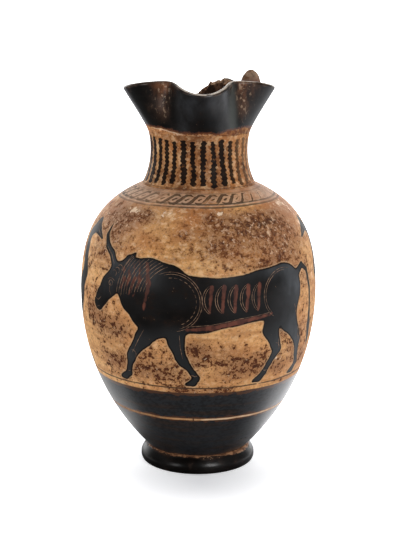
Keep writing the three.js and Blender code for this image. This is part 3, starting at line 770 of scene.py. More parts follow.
matt = b.mix(0.3, figure_paint["colour"], b.mix(charcoal, (0.0035, 0.003, 0.0028, 1), (0.03, 0.032, 0.034, 1)))
matt = b.mix(b.maths("MULTIPLY", charcoal, 0.5), matt, (0.026, 0.028, 0.0295, 1))
# partly painted sheen: bluish grey on the heads and the rump, thin paint on the legs
slate_and_sheen = b.node("Attribute", attribute_name="slate_and_sheen", output="Fac")
slate_and_sheen = b.maths("MULTIPLY", slate_and_sheen, b.node("MapRange", b.noise(b.place(1, 1, 0.6), 90, 6), 0.35, 0.6, 0.4, 1.0))
matt = b.mix(slate_and_sheen, matt, (0.07, 0.075, 0.082, 1))
matt = b.mix(b.step(distance, -1.3, -0.7), matt, (0.0035, 0.0027, 0.0023, 1))
red_tone = b.mix(b.step(b.noise(b.place(1, 1, 0.5), 210, 5), 0.4, 0.62), (0.085, 0.028, 0.019, 1), (0.17, 0.052, 0.031, 1))
matt = b.mix(b.maths("MULTIPLY", red, 0.85), matt, red_tone)
colour = b.mix(beside_ring, bare_tone, (0.66, 0.48, 0.34, 1))
colour = b.mix(ring, colour, ring_tone)
colour = b.mix(lines, colour, (0.085, 0.055, 0.035, 1))
colour = b.mix(ground_line, colour, (0.062, 0.034, 0.02, 1))
contour = b.maths("MULTIPLY", b.between(distance, 0.1, 0.75, 0.25), 0.55)
colour = b.mix(contour, colour, (0.55, 0.36, 0.2, 1))
paling = b.step(b.noise(b.place(), 34, 4), 0.46, 0.58)
paling = b.maths("MULTIPLY", paling, b.step(turn, -0.4, -0.3))
line_tone = b.mix(b.step(turn, -0.45, -0.3), (0.2, 0.085, 0.04, 1), (0.42, 0.2, 0.09, 1))
line_tone = b.mix(paling, line_tone, (0.66, 0.47, 0.32, 1))
colour = b.mix(b.maths("MULTIPLY", bare_line, 0.7), colour, line_tone)
colour = b.mix(figures, colour, matt)
colour = b.mix(bands, colour, band_tone)
rough = b.blend(ring, bare_clay["roughness"], 0.6)
rough = b.blend(figures, rough, b.maths("MULTIPLY_ADD", figure_paint["roughness"], 0.8, 0.24))
rough = b.blend(bands, rough, painted["roughness"])
paint = b.maths("MAXIMUM", b.maths("MAXIMUM", figures, bands), b.maths("MULTIPLY", ring, 0.6))
relief = b.maths("MULTIPLY_ADD", paint, 0.45, bare_clay["height"])
relief = b.blend(paint, relief, b.maths("MULTIPLY_ADD", painted["height"], 1.0, 0.3))
glaze = b.node("MapRange", b.noise(b.place(1, 1, 2), 18, 3), 0.35, 0.65, 0.02, 0.17)
glaze = b.maths("MAXIMUM", b.maths("MULTIPLY", figures, glaze), b.maths("MULTIPLY", bands, 0.7))
crusty = b.maths("MULTIPLY_ADD", b.noise(b.place(), 170, 8, 0.66), -4.4, up)
joint_crust = b.step(crusty, 12.3, 11.9)
colour = b.mix(b.maths("MULTIPLY", joint_crust, 0.9), colour, JOINT_CRUST)
finish("painted_clay", colour, rough, relief, b, glaze=glaze, shine=0.15)
body.data.materials.append(body_finish)
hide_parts("body")
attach(body, "root")

# INCISED LINES
# Thin lines scratched through the black figures to the clay, for the shoulder, ribs, mane,
# eye and hooves. Each is a fine raised thread of pale clay that lies on the paint.
SCRATCH_WIDTH = 0.42
SCRATCH_PROUD = 0.12


def body_radius(height):
    return np.interp(height, body_outer[:, 1], body_outer[:, 0])


def arc(centre, radius, start, end, count=24, squeeze=1.0):
    """Points of a round or oval arc in the flat frieze, from one angle to another."""
    angle = np.radians(np.linspace(start, end, count))
    return np.column_stack(
        [centre[0] + radius * np.cos(angle), centre[1] + radius * squeeze * np.sin(angle)]
    )


def bull_scratches():
    """Shoulder and haunch arcs, ribs, folds of the neck, eye, muzzle, horn, ear and hooves."""
    lines = [
        arc((-36, 146), 21.5, -80, 118, 40),
        arc((-36, 146), 20.0, -74, 108, 40),
        arc((50, 148), 18.5, 70, 238, 36),
        arc((50, 148), 17.0, 84, 226, 36),
        arc((-87, 154.5), 2.0, 0, 360, 16),
        arc((-87, 153), 5, 40, 130, 10),
        arc((-80, 150.5), 8, 150, 255, 12),
        np.array([[-106, 140.6], [-101, 139.4], [-98, 142]]),
        np.array([[-104, 133.6], [-99.5, 135.2]]),
        np.array([[-74, 169], [-71, 173.2], [-68, 176]]),
        np.array([[-85.5, 168.5], [-90, 174.6], [-97, 179]]),
        np.array([[-28, 128.3], [-8, 129.8], [12, 133.4], [38, 135.8]]),
        np.array([[62, 138], [64.5, 128], [68.5, 117], [69.5, 111]]),
        np.array([[48, 124], [46.5, 116], [47, 109]]),
        np.array([[-57, 124], [-63.5, 113], [-68, 105]]),
        np.array([[-30.5, 122], [-30, 113], [-28.5, 104]]),
    ]
    for across in (-12.5, -3.5, 5.5, 14.5, 23.5):
        lines.append(arc((across + 9, 148), 11, 125, 235, 14, 1.1))
        lines.append(arc((across + 10.6, 148), 11, 132, 228, 14, 1.1))
    for start in range(-66, 92, 13):
        lines.append(arc((-36, 146), 17.4, start, start + 8.5, 4))
    for fold in range(11):
        lines.append(arc((-30, 144), 28.5 + 2.25 * fold, 110 + 1.5 * fold + 4 * (fold % 2), 164 + 1.6 * fold, 22))
    for curl in range(3):
        lines.append(arc((-79 - 2.6 * curl, 166.5 - 2.2 * curl), 2.2, -60, 150, 8))
    for across, up in ((-74, 90), (-19.5, 90.5), (74, 91.5), (37.5, 91)):
        lines.append(np.array([[across - 2.6, up + 0.5], [across, up - 0.6], [across + 2.6, up + 0.3]]))
    for across, up in ((-68, 104), (-27, 103), (67.5, 110), (44.5, 108)):
        lines.append(arc((across, up), 3.2, -60, 100, 8))
    return lines


def goose_scratches():
    """The wing's outline, three rows of feathers, the eye and the bill."""
    lines = [
        arc((-2, 132), 13, 20, 200, 24, 0.7),
        arc((6, 132), 8, -60, 80, 12),
        arc((27, 191), 1.3, 0, 360, 12),
        np.array([[31, 188.4], [38, 186], [43, 184.2]]),
    ]
    for step in range(5):
        start = np.array([4 - 6.0 * step, 134 - 1.6 * step])
        lines.append(np.linspace(start, start + [-14, -9], 8))
    return lines


def within(beast, flat_line):
    """The stretches of a flat line that lie well inside a beast."""
    line = evenly(np.asarray(flat_line, float), 0.9)
    inside = beast((line[:, 0], line[:, 1])) < -0.7
    ends = np.flatnonzero(np.diff(inside)) + 1
    stretches = zip(np.split(line, ends), np.split(inside, ends))
    return [stretch for stretch, kept in stretches if kept[0] and len(stretch) > 3]


def thread(line, centre, mirror):
    """A line of the flat frieze as a thread on the body: rows of four points, wide along the
    surface and thin out of it, at (r sin t, -r cos t, z) with t the distance along by the
    frieze's radius."""
    turn = (centre + mirror * line[:, 0]) / FRIEZE_RADIUS
    height = line[:, 1]
    radius = body_radius(height)
    middle = np.column_stack([radius * np.sin(turn), -radius * np.cos(turn), height])
    lean = (body_radius(height + 0.5) - body_radius(height - 0.5))[:, None]
    outward = np.column_stack([np.sin(turn), -np.cos(turn), -lean[:, 0]])
    outward /= np.linalg.norm(outward, axis=1)[:, None]
    ahead = np.gradient(middle, axis=0)
    ahead /= np.linalg.norm(ahead, axis=1)[:, None]
    across = np.cross(ahead, outward)
    fade = np.sin(np.linspace(0.12, math.pi - 0.12, len(line)))[:, None] ** 0.4
    half = SCRATCH_WIDTH / 2 * fade
    rise = SCRATCH_PROUD * fade
    return np.stack(
        [middle + outward * rise, middle + across * half, middle - outward * 0.2, middle - across * half],
        axis=1,
    )


scratches = []
for beast, centre, mirror in beasts:
    drawn = bull_scratches() if beast is bull else goose_scratches()
    for line in drawn:
        scratches += [thread(stretch, centre, mirror) for stretch in within(beast, line)]

THREAD_SIDES = 4
corner_count = 0
thread_points, thread_faces = [], []
for points in scratches:
    faces = grid_faces(len(points), THREAD_SIDES, ring=False)
    thread_faces += [[corner + corner_count for corner in face] for face in faces]
    thread_points.append(points.reshape(-1, 3))
    corner_count += points.shape[0] * THREAD_SIDES
thread_mesh = bpy.data.meshes.new("incised_lines")
thread_mesh.from_pydata((np.vstack(thread_points) * MM).tolist(), [], thread_faces)
incised = bpy.data.objects.new("incised_lines", thread_mesh)
bpy.context.scene.collection.objects.link(incised)
scratch_finish, s = new_finish("scratched_clay")
scraped = s.noise(s.place(), 340, 6)
colour = s.mix(s.step(scraped, 0.4, 0.62), (0.09, 0.05, 0.032, 1), (0.28, 0.17, 0.105, 1))
finish("scratched_clay", colour, s.blend(scraped, 0.5, 0.75), scraped, s, 0.00004)
thread_mesh.materials.append(scratch_finish)
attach(incised, "root")

# NECK
# A short neck drawn in to a waist, thrown with the body. Wavy upright strokes in black stand
# all round it between the shoulder and the edge of the mouth's gloss.
NECK_BOTTOM = (42.85, 218.75)
NECK_WAIST = (36.65, 244.5)
NECK_TOP = (38.4, 258.15)
NECK_WALL = 4.8
STROKE_COUNT = 32
BORDER_BROWN = (0.115, 0.037, 0.015, 1)
# pale colour of the painted highlight along the mouth's joint
JOINT_HIGHLIGHT = (0.74, 0.55, 0.38, 1)
NECK_RADIUS = 37.6
neck_outer = joined(
    curve(NECK_BOTTOM, (39.55, 224.5), (36.65, 233.5), NECK_WAIST, 40),
    curve(NECK_WAIST, (36.65, 250.0), (37.3, 254.5), NECK_TOP, 24),
)
neck_outer = evenly(neck_outer, 1.0)
neck_inner = (neck_outer - [NECK_WALL, 0])[::-2]
neck_line = np.vstack([neck_outer, neck_inner])
neck_unseen = np.arange(len(neck_line)) >= len(neck_outer)
neck = clay_form("thrown_neck", revolved(neck_line, 256), ring=True, unseen=neck_unseen)


def gloss_edge(recipe, turn, up):
    """1 above the mouth's uneven lower edge of gloss, which climbs on the left, a broken
    red-brown border along it, and a thin pale line just under it on the left, a painted highlight."""
    climb = recipe.maths("MULTIPLY_ADD", recipe.step(turn, -0.15, -1.0), 3.2, 260.0)
    on_right = recipe.step(turn, 0.25, 0.6)
    climb = recipe.maths("MULTIPLY_ADD", on_right, 2.4, climb)
    shake = recipe.maths("MULTIPLY_ADD", recipe.noise(recipe.place(), 110, 6), 3.4, -1.7)
    above = recipe.maths("SUBTRACT", up, recipe.maths("ADD", climb, shake))
    ragged = recipe.maths("MULTIPLY_ADD", recipe.noise(recipe.place(), 260, 6, 0.65), 5.0, -2.5)
    ragged = recipe.maths("ADD", above, ragged)
    start = recipe.maths("MULTIPLY_ADD", on_right, 3.8, ragged)
    border = recipe.maths("MULTIPLY", recipe.step(start, -1.4, -0.4), recipe.step(ragged, 1.7, 0.6))
    # painted highlight: a thin pale line on the left just under the gloss's edge
    joint_highlight = recipe.between(recipe.maths("ADD", above, recipe.maths("MULTIPLY", ragged, 0.1)), -1.5, -0.9, 0.25)
    joint_highlight = recipe.maths("MULTIPLY", joint_highlight, recipe.between(turn, -1.1, -0.38, 0.08))
    flecks = recipe.step(recipe.noise(recipe.place(), 330, 5, 0.6), 0.42, 0.56)
    border = recipe.maths("MULTIPLY", border, recipe.blend(flecks, 0.5, 0.95))
    return recipe.step(above, -0.3, 0.3), border, joint_highlight


neck_finish, n = new_finish("striped_clay")
bare_clay = n.effect(clay, stained=0.5)
# partly painted shade: the neck's clay is darkened all round for the shade under the mouth, as well as made
# redder-brown
shaded_clay_tone = n.mix(0.4, bare_clay["colour"], (0.31, 0.13, 0.045, 1))
crackle = n.maths("MULTIPLY", n.noise(n.place(), 60, 3), 0.5)
crackle = n.maths("MULTIPLY_ADD", n.noise(n.place(1, 1, 0.7), 330, 6, 0.66), 0.7, crackle)
crackle = n.step(crackle, 0.62, 0.68)
shaded_clay_tone = n.mix(n.maths("MULTIPLY", crackle, 0.6), shaded_clay_tone, (0.12, 0.04, 0.014, 1))
light = n.step(n.noise(n.place(), 230, 5), 0.52, 0.64)
shaded_clay_tone = n.mix(n.maths("MULTIPLY", light, 0.4), shaded_clay_tone, (0.84, 0.56, 0.3, 1))
turn, up = round_and_up(n)
shake = n.maths("MULTIPLY_ADD", n.noise(n.place(1, 1, 0.6), 75, 1), 0.5, -0.25)
cell = n.maths("ADD", n.maths("MULTIPLY_ADD", turn, STROKE_COUNT / (2 * math.pi), 100.37), shake)
number = n.maths("FLOOR", cell)
offset = n.maths("SUBTRACT", n.maths("FRACT", cell), 0.5)
offset = n.maths("MULTIPLY", offset, 2 * math.pi * NECK_RADIUS / STROKE_COUNT)
chance = n.node("TexWhiteNoise", noise_dimensions="1D")
n.feed(chance.node.inputs["W"], number)
other = n.node("TexWhiteNoise", noise_dimensions="1D")
n.feed(other.node.inputs["W"], n.maths("ADD", number, 0.5))
lean = n.maths("MULTIPLY", n.maths("SUBTRACT", other, 0.5), n.maths("MULTIPLY_ADD", up, 0.05, -12.0))
beads = n.maths("SINE", n.maths("ADD", n.maths("MULTIPLY", up, 2.1), n.maths("MULTIPLY", number, 2.0)))
sway = n.maths("SINE", n.maths("ADD", n.maths("MULTIPLY", up, 0.9), n.maths("MULTIPLY", number, 2.6)))
lean = n.maths("MULTIPLY_ADD", sway, 0.28, lean)
uneven = n.maths("MULTIPLY_ADD", n.noise(n.place(), 190, 3), 0.9, -0.45)
half = n.maths("MULTIPLY_ADD", beads, 0.42, n.maths("MULTIPLY_ADD", chance, 0.6, uneven))
half = n.maths("ADD", half, 1.8)
aside = n.maths("SUBTRACT", n.maths("ABSOLUTE", n.maths("ADD", offset, lean)), half)
top = n.maths("SUBTRACT", up, n.maths("MULTIPLY_ADD", chance, 2.2, 254.0))
bottom = n.maths("SUBTRACT", n.maths("MULTIPLY_ADD", other, -3.0, 222.9), up)
ends = n.maths("MAXIMUM", top, bottom)
outside = n.maths("MAXIMUM", n.maths("SMOOTH_MAX", aside, ends, 2.6), aside)
ragged = n.maths("MULTIPLY_ADD", n.noise(n.place(), 360, 4), 1.1, -0.55)
fading = n.between(turn, 0.75, 1.5, 0.25)
outside = n.maths("MULTIPLY_ADD", fading, 0.3, outside)
stroke = n.step(n.maths("ADD", outside, ragged), 0.22, -0.22)
thin = n.step(n.noise(n.place(), 150, 6), 0.7, 0.63)
stroke = n.maths("MULTIPLY", stroke, n.blend(thin, 0.4, n.maths("MULTIPLY_ADD", fading, -0.3, 0.97)))
edge_line = n.between(n.maths("ADD", up, ragged), 219.5, 220.2, 0.2)
glossed, gloss_border, joint_highlight = gloss_edge(n, turn, up)
inside = n.step(n.node("VectorMath", n.place(1, 1, 0), operation="LENGTH", output="Value"), 0.0355, 0.034)
glossed = n.maths("MAXIMUM", glossed, inside)
dark = n.effect(gloss, worn=0.12, sheen=0.5)
rim_gloss = n.effect(gloss, worn=0.6, sheen=0.5)
colour = n.mix(n.maths("MULTIPLY", edge_line, 0.6), shaded_clay_tone, (0.06, 0.035, 0.024, 1))
colour = n.mix(stroke, colour, n.mix(0.8, dark["colour"], (0.003, 0.0014, 0.0008, 1)))
colour = n.mix(glossed, colour, rim_gloss["colour"])
colour = n.mix(gloss_border, colour, BORDER_BROWN)
colour = n.mix(n.maths("MULTIPLY", joint_highlight, 0.8), colour, JOINT_HIGHLIGHT)
rough = n.blend(stroke, bare_clay["roughness"], 0.5)
rough = n.blend(glossed, rough, rim_gloss["roughness"])
relief = n.maths("MULTIPLY_ADD", n.maths("MAXIMUM", stroke, glossed), 0.6, bare_clay["height"])
finish("striped_clay", colour, rough, relief, n, shine=0.1)
neck.data.materials.append(neck_finish)
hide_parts("neck")
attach(neck, "root")

# MOUTH
# A flaring mouth whose rim was pinched in on both sides while the clay was soft, which
# leaves a pouring lobe in front and two round lobes. Its back rim is broken away.
ROUND_RADII = (62.9, 62.7, 47.7)
PINCH_TURN = math.radians(41.7)
PINCH_WIDTH = math.radians(25.2)
PINCH_DEPTH = 24.8
LIP_HEIGHTS = [(0, 288.9), (44, 297.4), (100, 290.2), (140, 290.8), (151, 293.4), (180, 293.2)]
LIP_THICKNESS = 3.6
MOUTH_START = np.array([38.4, 258.2])
MOUTH_WAY = np.array([1.3, 4.2])
MOUTH_FLARE = 0.6
BROKEN_EDGE = [
    (-38, 291), (-33, 287), (-27.5, 285), (-22, 281), (-15.5, 277.5), (-8, 278), (0, 281.3),
    (5, 282.5), (11, 285.7), (14, 289.3), (18, 289.7), (24, 291.2), (28, 293), (31, 293.4),
]
RUBBED_SIDES = [(-46, 8), (50, 8)]
MOUTH_SIDES = 640
WALL_ROWS = 44
LIP_ROWS = 9
SLOPE = 0.004
LEVEL_SHARE = 0.33


def pinch_share(turn):
    """1 in the middle of each pinch, falling off as 1 / (1 + x^2) with x the turn from it."""
    return sum(1 / (1 + ((turn + side * PINCH_TURN) / PINCH_WIDTH) ** 2) for side in (-1, 1))


def rim_radius(turn):
    """An oval, as a mean radius and two cosines, less the two pinches."""
    front, side, back = ROUND_RADII
    mean = (front + back + 2 * side) / 4
    oval = mean + (front - back) / 2 * np.cos(turn) + ((front + back) / 4 - side / 2) * np.cos(2 * turn)
    return oval - PINCH_DEPTH * pinch_share(turn)


def lip_height(turn):
    """Eased like half a cosine from one named height to the next, alike on both sides."""
    away = np.degrees(np.abs(turn))
    turns, levels = np.array(LIP_HEIGHTS).T
    start = np.clip(np.searchsorted(turns, away) - 1, 0, len(turns) - 2)
    share = (away - turns[start]) / (turns[start + 1] - turns[start])
    return levels[start] + (levels[start + 1] - levels[start]) * (1 - np.cos(math.pi * share)) / 2


def roughly(values, seed, waves, longest):
    """Ragged noise: sines of rising frequency and falling height, with seeded phases."""
    chance = np.random.default_rng(seed)
    total = np.zeros_like(values)
    for wave in range(waves):
        frequency = 2 * math.pi / longest * 1.7**wave
        total += np.sin(frequency * values + chance.uniform(0, 2 * math.pi)) / 1.45**wave
    return total


def left_height(turn):
    """Height that is left of the wall: the broken edge's named points, made ragged."""
    from_back = np.degrees(math.pi - (turn % (2 * math.pi)))
    places, levels = np.array(BROKEN_EDGE).T
    broken = (from_back > places[0]) & (from_back < places[-1])
    near_end = np.minimum(from_back - places[0], places[-1] - from_back)
    ragged = roughly(from_back, 5, 7, 23.0) * 0.5 * np.clip(near_end / 4, 0, 1)
    return np.where(broken, np.interp(from_back, places, levels) + ragged, 1e3)


def mouth_outer(turn, share):
    """The wall's outside: in the upright plane at each turn a Bezier curve leaves the neck
    and flares to the rim."""
    turn, share = np.broadcast_arrays(turn, share)
    start = np.stack([np.full(turn.shape, MOUTH_START[0]), np.full(turn.shape, MOUTH_START[1])], -1)
    way = start + MOUTH_WAY
    rim = np.stack([rim_radius(turn), lip_height(turn) - LIP_THICKNESS / 2], -1)
    flare = way + (rim - way) * MOUTH_FLARE
    s = share[..., None]
    line = (1 - s) ** 3 * start + 3 * s * (1 - s) ** 2 * way + 3 * s**2 * (1 - s) * flare + s**3 * rim
    return np.stack([line[..., 0] * np.sin(turn), -line[..., 0] * np.cos(turn), line[..., 1]], -1)


def unit(vectors):
    return vectors / np.linalg.norm(vectors, axis=-1)[..., None]


def mouth_outward(turn, share):
    """The way out of the wall: square to it near the rim, level at the neck."""
    low, high = np.clip(share - SLOPE, 0, 1), np.clip(share + SLOPE, 0, 1)
    ahead = mouth_outer(turn + SLOPE, share) - mouth_outer(turn - SLOPE, share)
    out = unit(np.cross(ahead, mouth_outer(turn, high) - mouth_outer(turn, low)))
    out[..., 2] *= np.clip(share / LEVEL_SHARE, 0, 1) * np.ones(out.shape[:-1])
    return unit(out)


mouth_turns = np.linspace(-math.pi, math.pi, MOUTH_SIDES, endpoint=False)
left = left_height(mouth_turns)
low_share, high_share = np.zeros(MOUTH_SIDES), np.ones(MOUTH_SIDES)
whole = mouth_outer(mouth_turns, high_share)[:, 2] <= left
for halving in range(24):
    half_share = (low_share + high_share) / 2
    under = mouth_outer(mouth_turns, half_share)[:, 2] < left
    low_share = np.where(under, half_share, low_share)
    high_share = np.where(under, high_share, half_share)
top_share = np.where(whole, 1.0, low_share)
wall_share = np.linspace(0, 1, WALL_ROWS + 1)[:, None] * top_share
turns_grid = np.broadcast_to(mouth_turns, wall_share.shape)
thickness = NECK_WALL + (LIP_THICKNESS - NECK_WALL) * wall_share
outside = mouth_outer(turns_grid, wall_share)
out = mouth_outward(turns_grid, wall_share)
inside = outside - out * thickness[..., None]
middle = (outside[-1] + inside[-1]) / 2
half = outside[-1] - middle
upward = unit(mouth_outer(mouth_turns, top_share) - mouth_outer(mouth_turns, top_share - SLOPE))
lip_angle = (math.pi * np.arange(1, LIP_ROWS + 1) / (LIP_ROWS + 1))[:, None, None]
roundness = np.where(whole, 1.0, 0.25)
rise = np.linalg.norm(half, axis=1) * roundness
lip = middle + half * np.cos(lip_angle) + upward * rise[:, None] * np.sin(lip_angle)
chips = roughly(mouth_turns * 50, 9, 6, 9.0) * np.sin(3 * lip_angle[:, :, 0]) * 0.5
lip[..., 2] += np.where(whole, 0, chips)
mouth_points = np.concatenate([outside, lip, inside[::-1]])
row_kind = np.concatenate([np.zeros(WALL_ROWS + 1), np.ones(LIP_ROWS), 2 * np.ones(WALL_ROWS + 1)])
mouth = clay_form("trefoil_mouth", mouth_points, ring=True)

share_all = np.concatenate([wall_share, np.broadcast_to(top_share, (LIP_ROWS, MOUTH_SIDES)), wall_share[::-1]])
from_lip = (top_share - share_all) * 36
is_broken = np.where(whole, 0.0, 1.0)
is_broken = sum(np.roll(is_broken, shift) for shift in range(-3, 4)) / 7
broken = is_broken * np.clip(1 - from_lip / 3.0, 0, 1) * np.where(row_kind[:, None] == 0, 0.6, 1.0)
from_back = np.abs((np.degrees(mouth_turns) + 360) % 360 - 180)
past_break = np.clip((46 - from_back) / 6, 0, 1) * (mouth_turns > 0) * (1 - is_broken)
broken += past_break * np.clip(1 - from_lip / 8.0, 0, 1) * (row_kind[:, None] == 2)
behind = np.maximum(is_broken, np.clip(1.6 - from_back / 40, 0, 1))
crusted = behind * np.clip(1 - from_lip / 26.0, 0, 1) * (row_kind[:, None] == 2)
crest = np.zeros(from_lip.shape)
on_inside = np.clip((np.degrees(lip_angle[:, :, 0]) - 40) / 20, 0, 1)
crest[row_kind == 1] = np.maximum(np.where(whole, on_inside, 0.0), past_break)
pinched = sum(
    np.exp(-(((np.degrees(mouth_turns) - middle_turn) / spread_turn) ** 2))
    for middle_turn, spread_turn in RUBBED_SIDES
)
pinched = pinched * np.clip((share_all - 0.3) * 2.2, 0, 1)
store(mouth, "broken", broken)
store(mouth, "crusted", crusted)
store(mouth, "pinched", pinched)
store(mouth, "from_lip", from_lip)
store(mouth, "crest", crest)
store(mouth, "outer_wall", np.broadcast_to((row_kind == 0)[:, None], from_lip.shape))

mouth_finish, m = new_finish("mouth_gloss")
turn, up = round_and_up(m)
broken_mask = m.node("Attribute", attribute_name="broken", output="Fac")
crust_mask = m.node("Attribute", attribute_name="crusted", output="Fac")
pinch_mask = m.node("Attribute", attribute_name="pinched", output="Fac")
lip_distance = m.node("Attribute", attribute_name="from_lip", output="Fac")
lip_wear = m.step(m.maths("MULTIPLY_ADD", m.noise(m.place(), 200, 5), 2.4, lip_distance), 1.6, 0.8)
crest_mask = m.step(m.node("Attribute", attribute_name="crest", output="Fac"), 0.3, 0.8)
crest_pale_share = m.step(m.noise(m.place(), 90, 6, 0.65), 0.42, 0.56)
foot_wear = m.step(m.maths("MULTIPLY_ADD", m.noise(m.place(), 80, 5), 8.0, up), 266.0, 262.0)
worn = m.maths("MAXIMUM", m.maths("MULTIPLY", pinch_mask, 0.75), m.maths("MULTIPLY", foot_wear, 0.7))
worn = m.maths("MAXIMUM", worn, 0.14)
# painted sheen: more blue-grey in the gloss's colour towards the right, where it catches the light
sheen = m.node("MapRange", turn, -0.5, 0.3, 0.12, 0.75)
skin = m.effect(gloss, worn=worn, sheen=sheen)
fracture = m.effect(clay, stained=1.6)
bare_clay = m.effect(clay, stained=0.45)
glossed, gloss_border, joint_highlight = gloss_edge(m, turn, up)
rub = m.step(m.noise(m.place(1, 1, 0.5), 120, 7, 0.65), 0.38, 0.62)
rub = m.maths("MULTIPLY", m.maths("MULTIPLY_ADD", rub, 0.8, 0.1), pinch_mask)
rub_tone = m.mix(m.step(lip_distance, 11.0, 2.0), (0.095, 0.045, 0.025, 1), (0.24, 0.092, 0.04, 1))
colour = m.mix(rub, skin["colour"], rub_tone)
scratched = m.step(m.noise(m.place(1, 1, 0.6), 480, 5), 0.57, 0.65)
scratched = m.maths("MULTIPLY", scratched, m.maths("MULTIPLY", pinch_mask, 0.7))
colour = m.mix(scratched, colour, (0.42, 0.28, 0.18, 1))
# painted sheen: a teal-grey band right of the front
painted_teal_sheen = m.maths("MULTIPLY", m.between(turn, 0.5, 0.72, 0.1), m.node("MapRange", m.noise(m.place(), 60, 5), 0.35, 0.6, 0.5, 0.9))
colour = m.mix(painted_teal_sheen, colour, (0.058, 0.062, 0.056, 1))
# painted sheen: soft grey zones over the upper front and the left middle
painted_grey_sheen = m.maths("MULTIPLY", m.step(up, 274, 284), m.between(turn, -0.4, 0.45, 0.12))
painted_grey_sheen = m.maths("MAXIMUM", m.between(turn, -0.44, -0.14, 0.1), painted_grey_sheen)
painted_grey_sheen = m.maths("MULTIPLY", painted_grey_sheen, m.node("MapRange", m.noise(m.place(1, 1, 0.7), 110, 6, 0.62), 0.38, 0.6, 0.1, 0.75))
colour = m.mix(painted_grey_sheen, colour, (0.027, 0.028, 0.031, 1))
colour = m.mix(m.maths("MULTIPLY", lip_wear, 0.6), colour, (0.08, 0.05, 0.035, 1))
# the lip's crest is pale: partly worn clay, partly a painted highlight along the rim
crest_pale_share = m.maths("MULTIPLY", crest_pale_share, m.step(turn, -0.85, -0.4))
crest_wear_and_highlight = m.mix(crest_pale_share, (0.1, 0.07, 0.052, 1), (0.5, 0.42, 0.34, 1))
colour = m.mix(m.maths("MULTIPLY", crest_mask, 0.85), colour, crest_wear_and_highlight)
outer_wall = m.step(m.node("Attribute", attribute_name="outer_wall", output="Fac"), 0.4, 0.6)
bare = m.maths("MULTIPLY", m.maths("SUBTRACT", 1.0, glossed), outer_wall)
colour = m.mix(bare, colour, bare_clay["colour"])
colour = m.mix(m.maths("MULTIPLY", gloss_border, outer_wall), colour, BORDER_BROWN)
colour = m.mix(m.maths("MULTIPLY", m.maths("MULTIPLY", joint_highlight, outer_wall), 0.8), colour, JOINT_HIGHLIGHT)
crust_noise = m.noise(m.place(), 130, 9, 0.68)
crust = m.step(m.maths("MULTIPLY_ADD", crust_mask, 0.62, crust_noise), 0.74, 0.86)
colour = m.mix(crust, colour, m.mix(m.step(crust_noise, 0.42, 0.62), (0.025, 0.012, 0.007, 1), (0.13, 0.062, 0.034, 1)))
break_edge = m.step(m.maths("MULTIPLY_ADD", crust_noise, 0.5, broken_mask), 0.6, 0.78)
crumbs = m.step(m.noise(m.place(), 420, 5, 0.6), 0.42, 0.6)
brown = m.mix(crumbs, (0.13, 0.06, 0.034, 1), (0.56, 0.37, 0.24, 1))
brown = m.mix(0.7, fracture["colour"], brown)
pits = m.step(m.noise(m.place(), 260, 6, 0.62), 0.54, 0.64)
brown = m.mix(m.maths("MULTIPLY", pits, 0.75), brown, (0.03, 0.016, 0.01, 1))
colour = m.mix(break_edge, colour, brown)
rough = m.blend(bare, skin["roughness"], bare_clay["roughness"])
rough = m.blend(m.maths("MAXIMUM", crust, break_edge), rough, 0.82)
relief = m.blend(m.maths("MAXIMUM", crust, break_edge), skin["height"], m.maths("MULTIPLY", crust_noise, 4.0))
glaze = m.node("MapRange", m.noise(m.place(), 20, 3), 0.38, 0.62, 0.55, 1.0)
dulled = m.maths("MAXIMUM", m.maths("MAXIMUM", crust, break_edge), m.maths("MAXIMUM", bare, worn))
sides = m.maths("MULTIPLY_ADD", m.step(turn, 0.72, 0.92), 0.65, m.maths("MULTIPLY", m.step(turn, -0.55, -0.85), 0.5))
dulled = m.maths("MAXIMUM", dulled, sides)
calm = m.maths("MULTIPLY", m.between(turn, -0.08, 0.32, 0.14), m.step(up, 282, 268))
dulled = m.maths("MAXIMUM", dulled, m.maths("MULTIPLY", calm, 0.95))
glaze = m.blend(dulled, glaze, 0.0)
finish("mouth_gloss", colour, rough, relief, m, 0.0002, glaze=glaze, shine=0.13)
mouth.data.materials.append(mouth_finish)
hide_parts("mouth")
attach(mouth, "root")

# HANDLE
# Three rolls of clay laid side by side, bowed from under the back rim to the shoulder and
# pressed on at both ends, all in black gloss.
ROLL_WIDTH = 9.6
ROLL_SPACING = 9.7
ROLL_HEIGHT = 9.4
ROOT_HEIGHT = 14.0
ROOT_SHARE = 0.14
ROLL_SIDES = 48
ROLL_STEPS = 130
HANDLE_BOW = [
    (30, 258), (40, 263.5), (49, 267.5), (59, 269.4), (69.5, 267), (78, 258.5), (82, 246),
    (82.6, 232), (80, 217.5), (75.5, 203.5), (69, 190),
]
WALL_BITE = 1.5


def through_points(points, steps):
    """A smooth line through points: between two of them a cubic whose slopes come from the
    neighbours, weighted by the root of the distances (a centripetal Catmull-Rom curve)."""
    points = np.array(points, float)
    ends = [2 * points[0] - points[1], *points, 2 * points[-1] - points[-2]]
    pieces = []
    share = np.linspace(0, 1, 40)[:, None]
    for before, start, end, after in zip(ends[:-3], ends[1:-2], ends[2:-1], ends[3:]):
        gaps = [math.sqrt(np.hypot(*(b - a))) for a, b in ((before, start), (start, end), (end, after))]
        out_slope = (start - before) / gaps[0] - (end - before) / (gaps[0] + gaps[1]) + (end - start) / gaps[1]
        in_slope = (end - start) / gaps[1] - (after - start) / (gaps[1] + gaps[2]) + (after - end) / gaps[2]
        out_slope, in_slope = out_slope * gaps[1], in_slope * gaps[1]
        cubic = (2 * start - 2 * end + out_slope + in_slope) * share**3
        square = (-3 * start + 3 * end - 2 * out_slope - in_slope) * share**2
        pieces.append(cubic + square + out_slope * share + start)
    line = joined(*pieces)
    length = np.concatenate([[0], np.cumsum(np.hypot(*np.diff(line, axis=0).T))])
    places = np.linspace(0, length[-1], steps + 1)
    return np.column_stack([np.interp(places, length, column) for column in line.T])


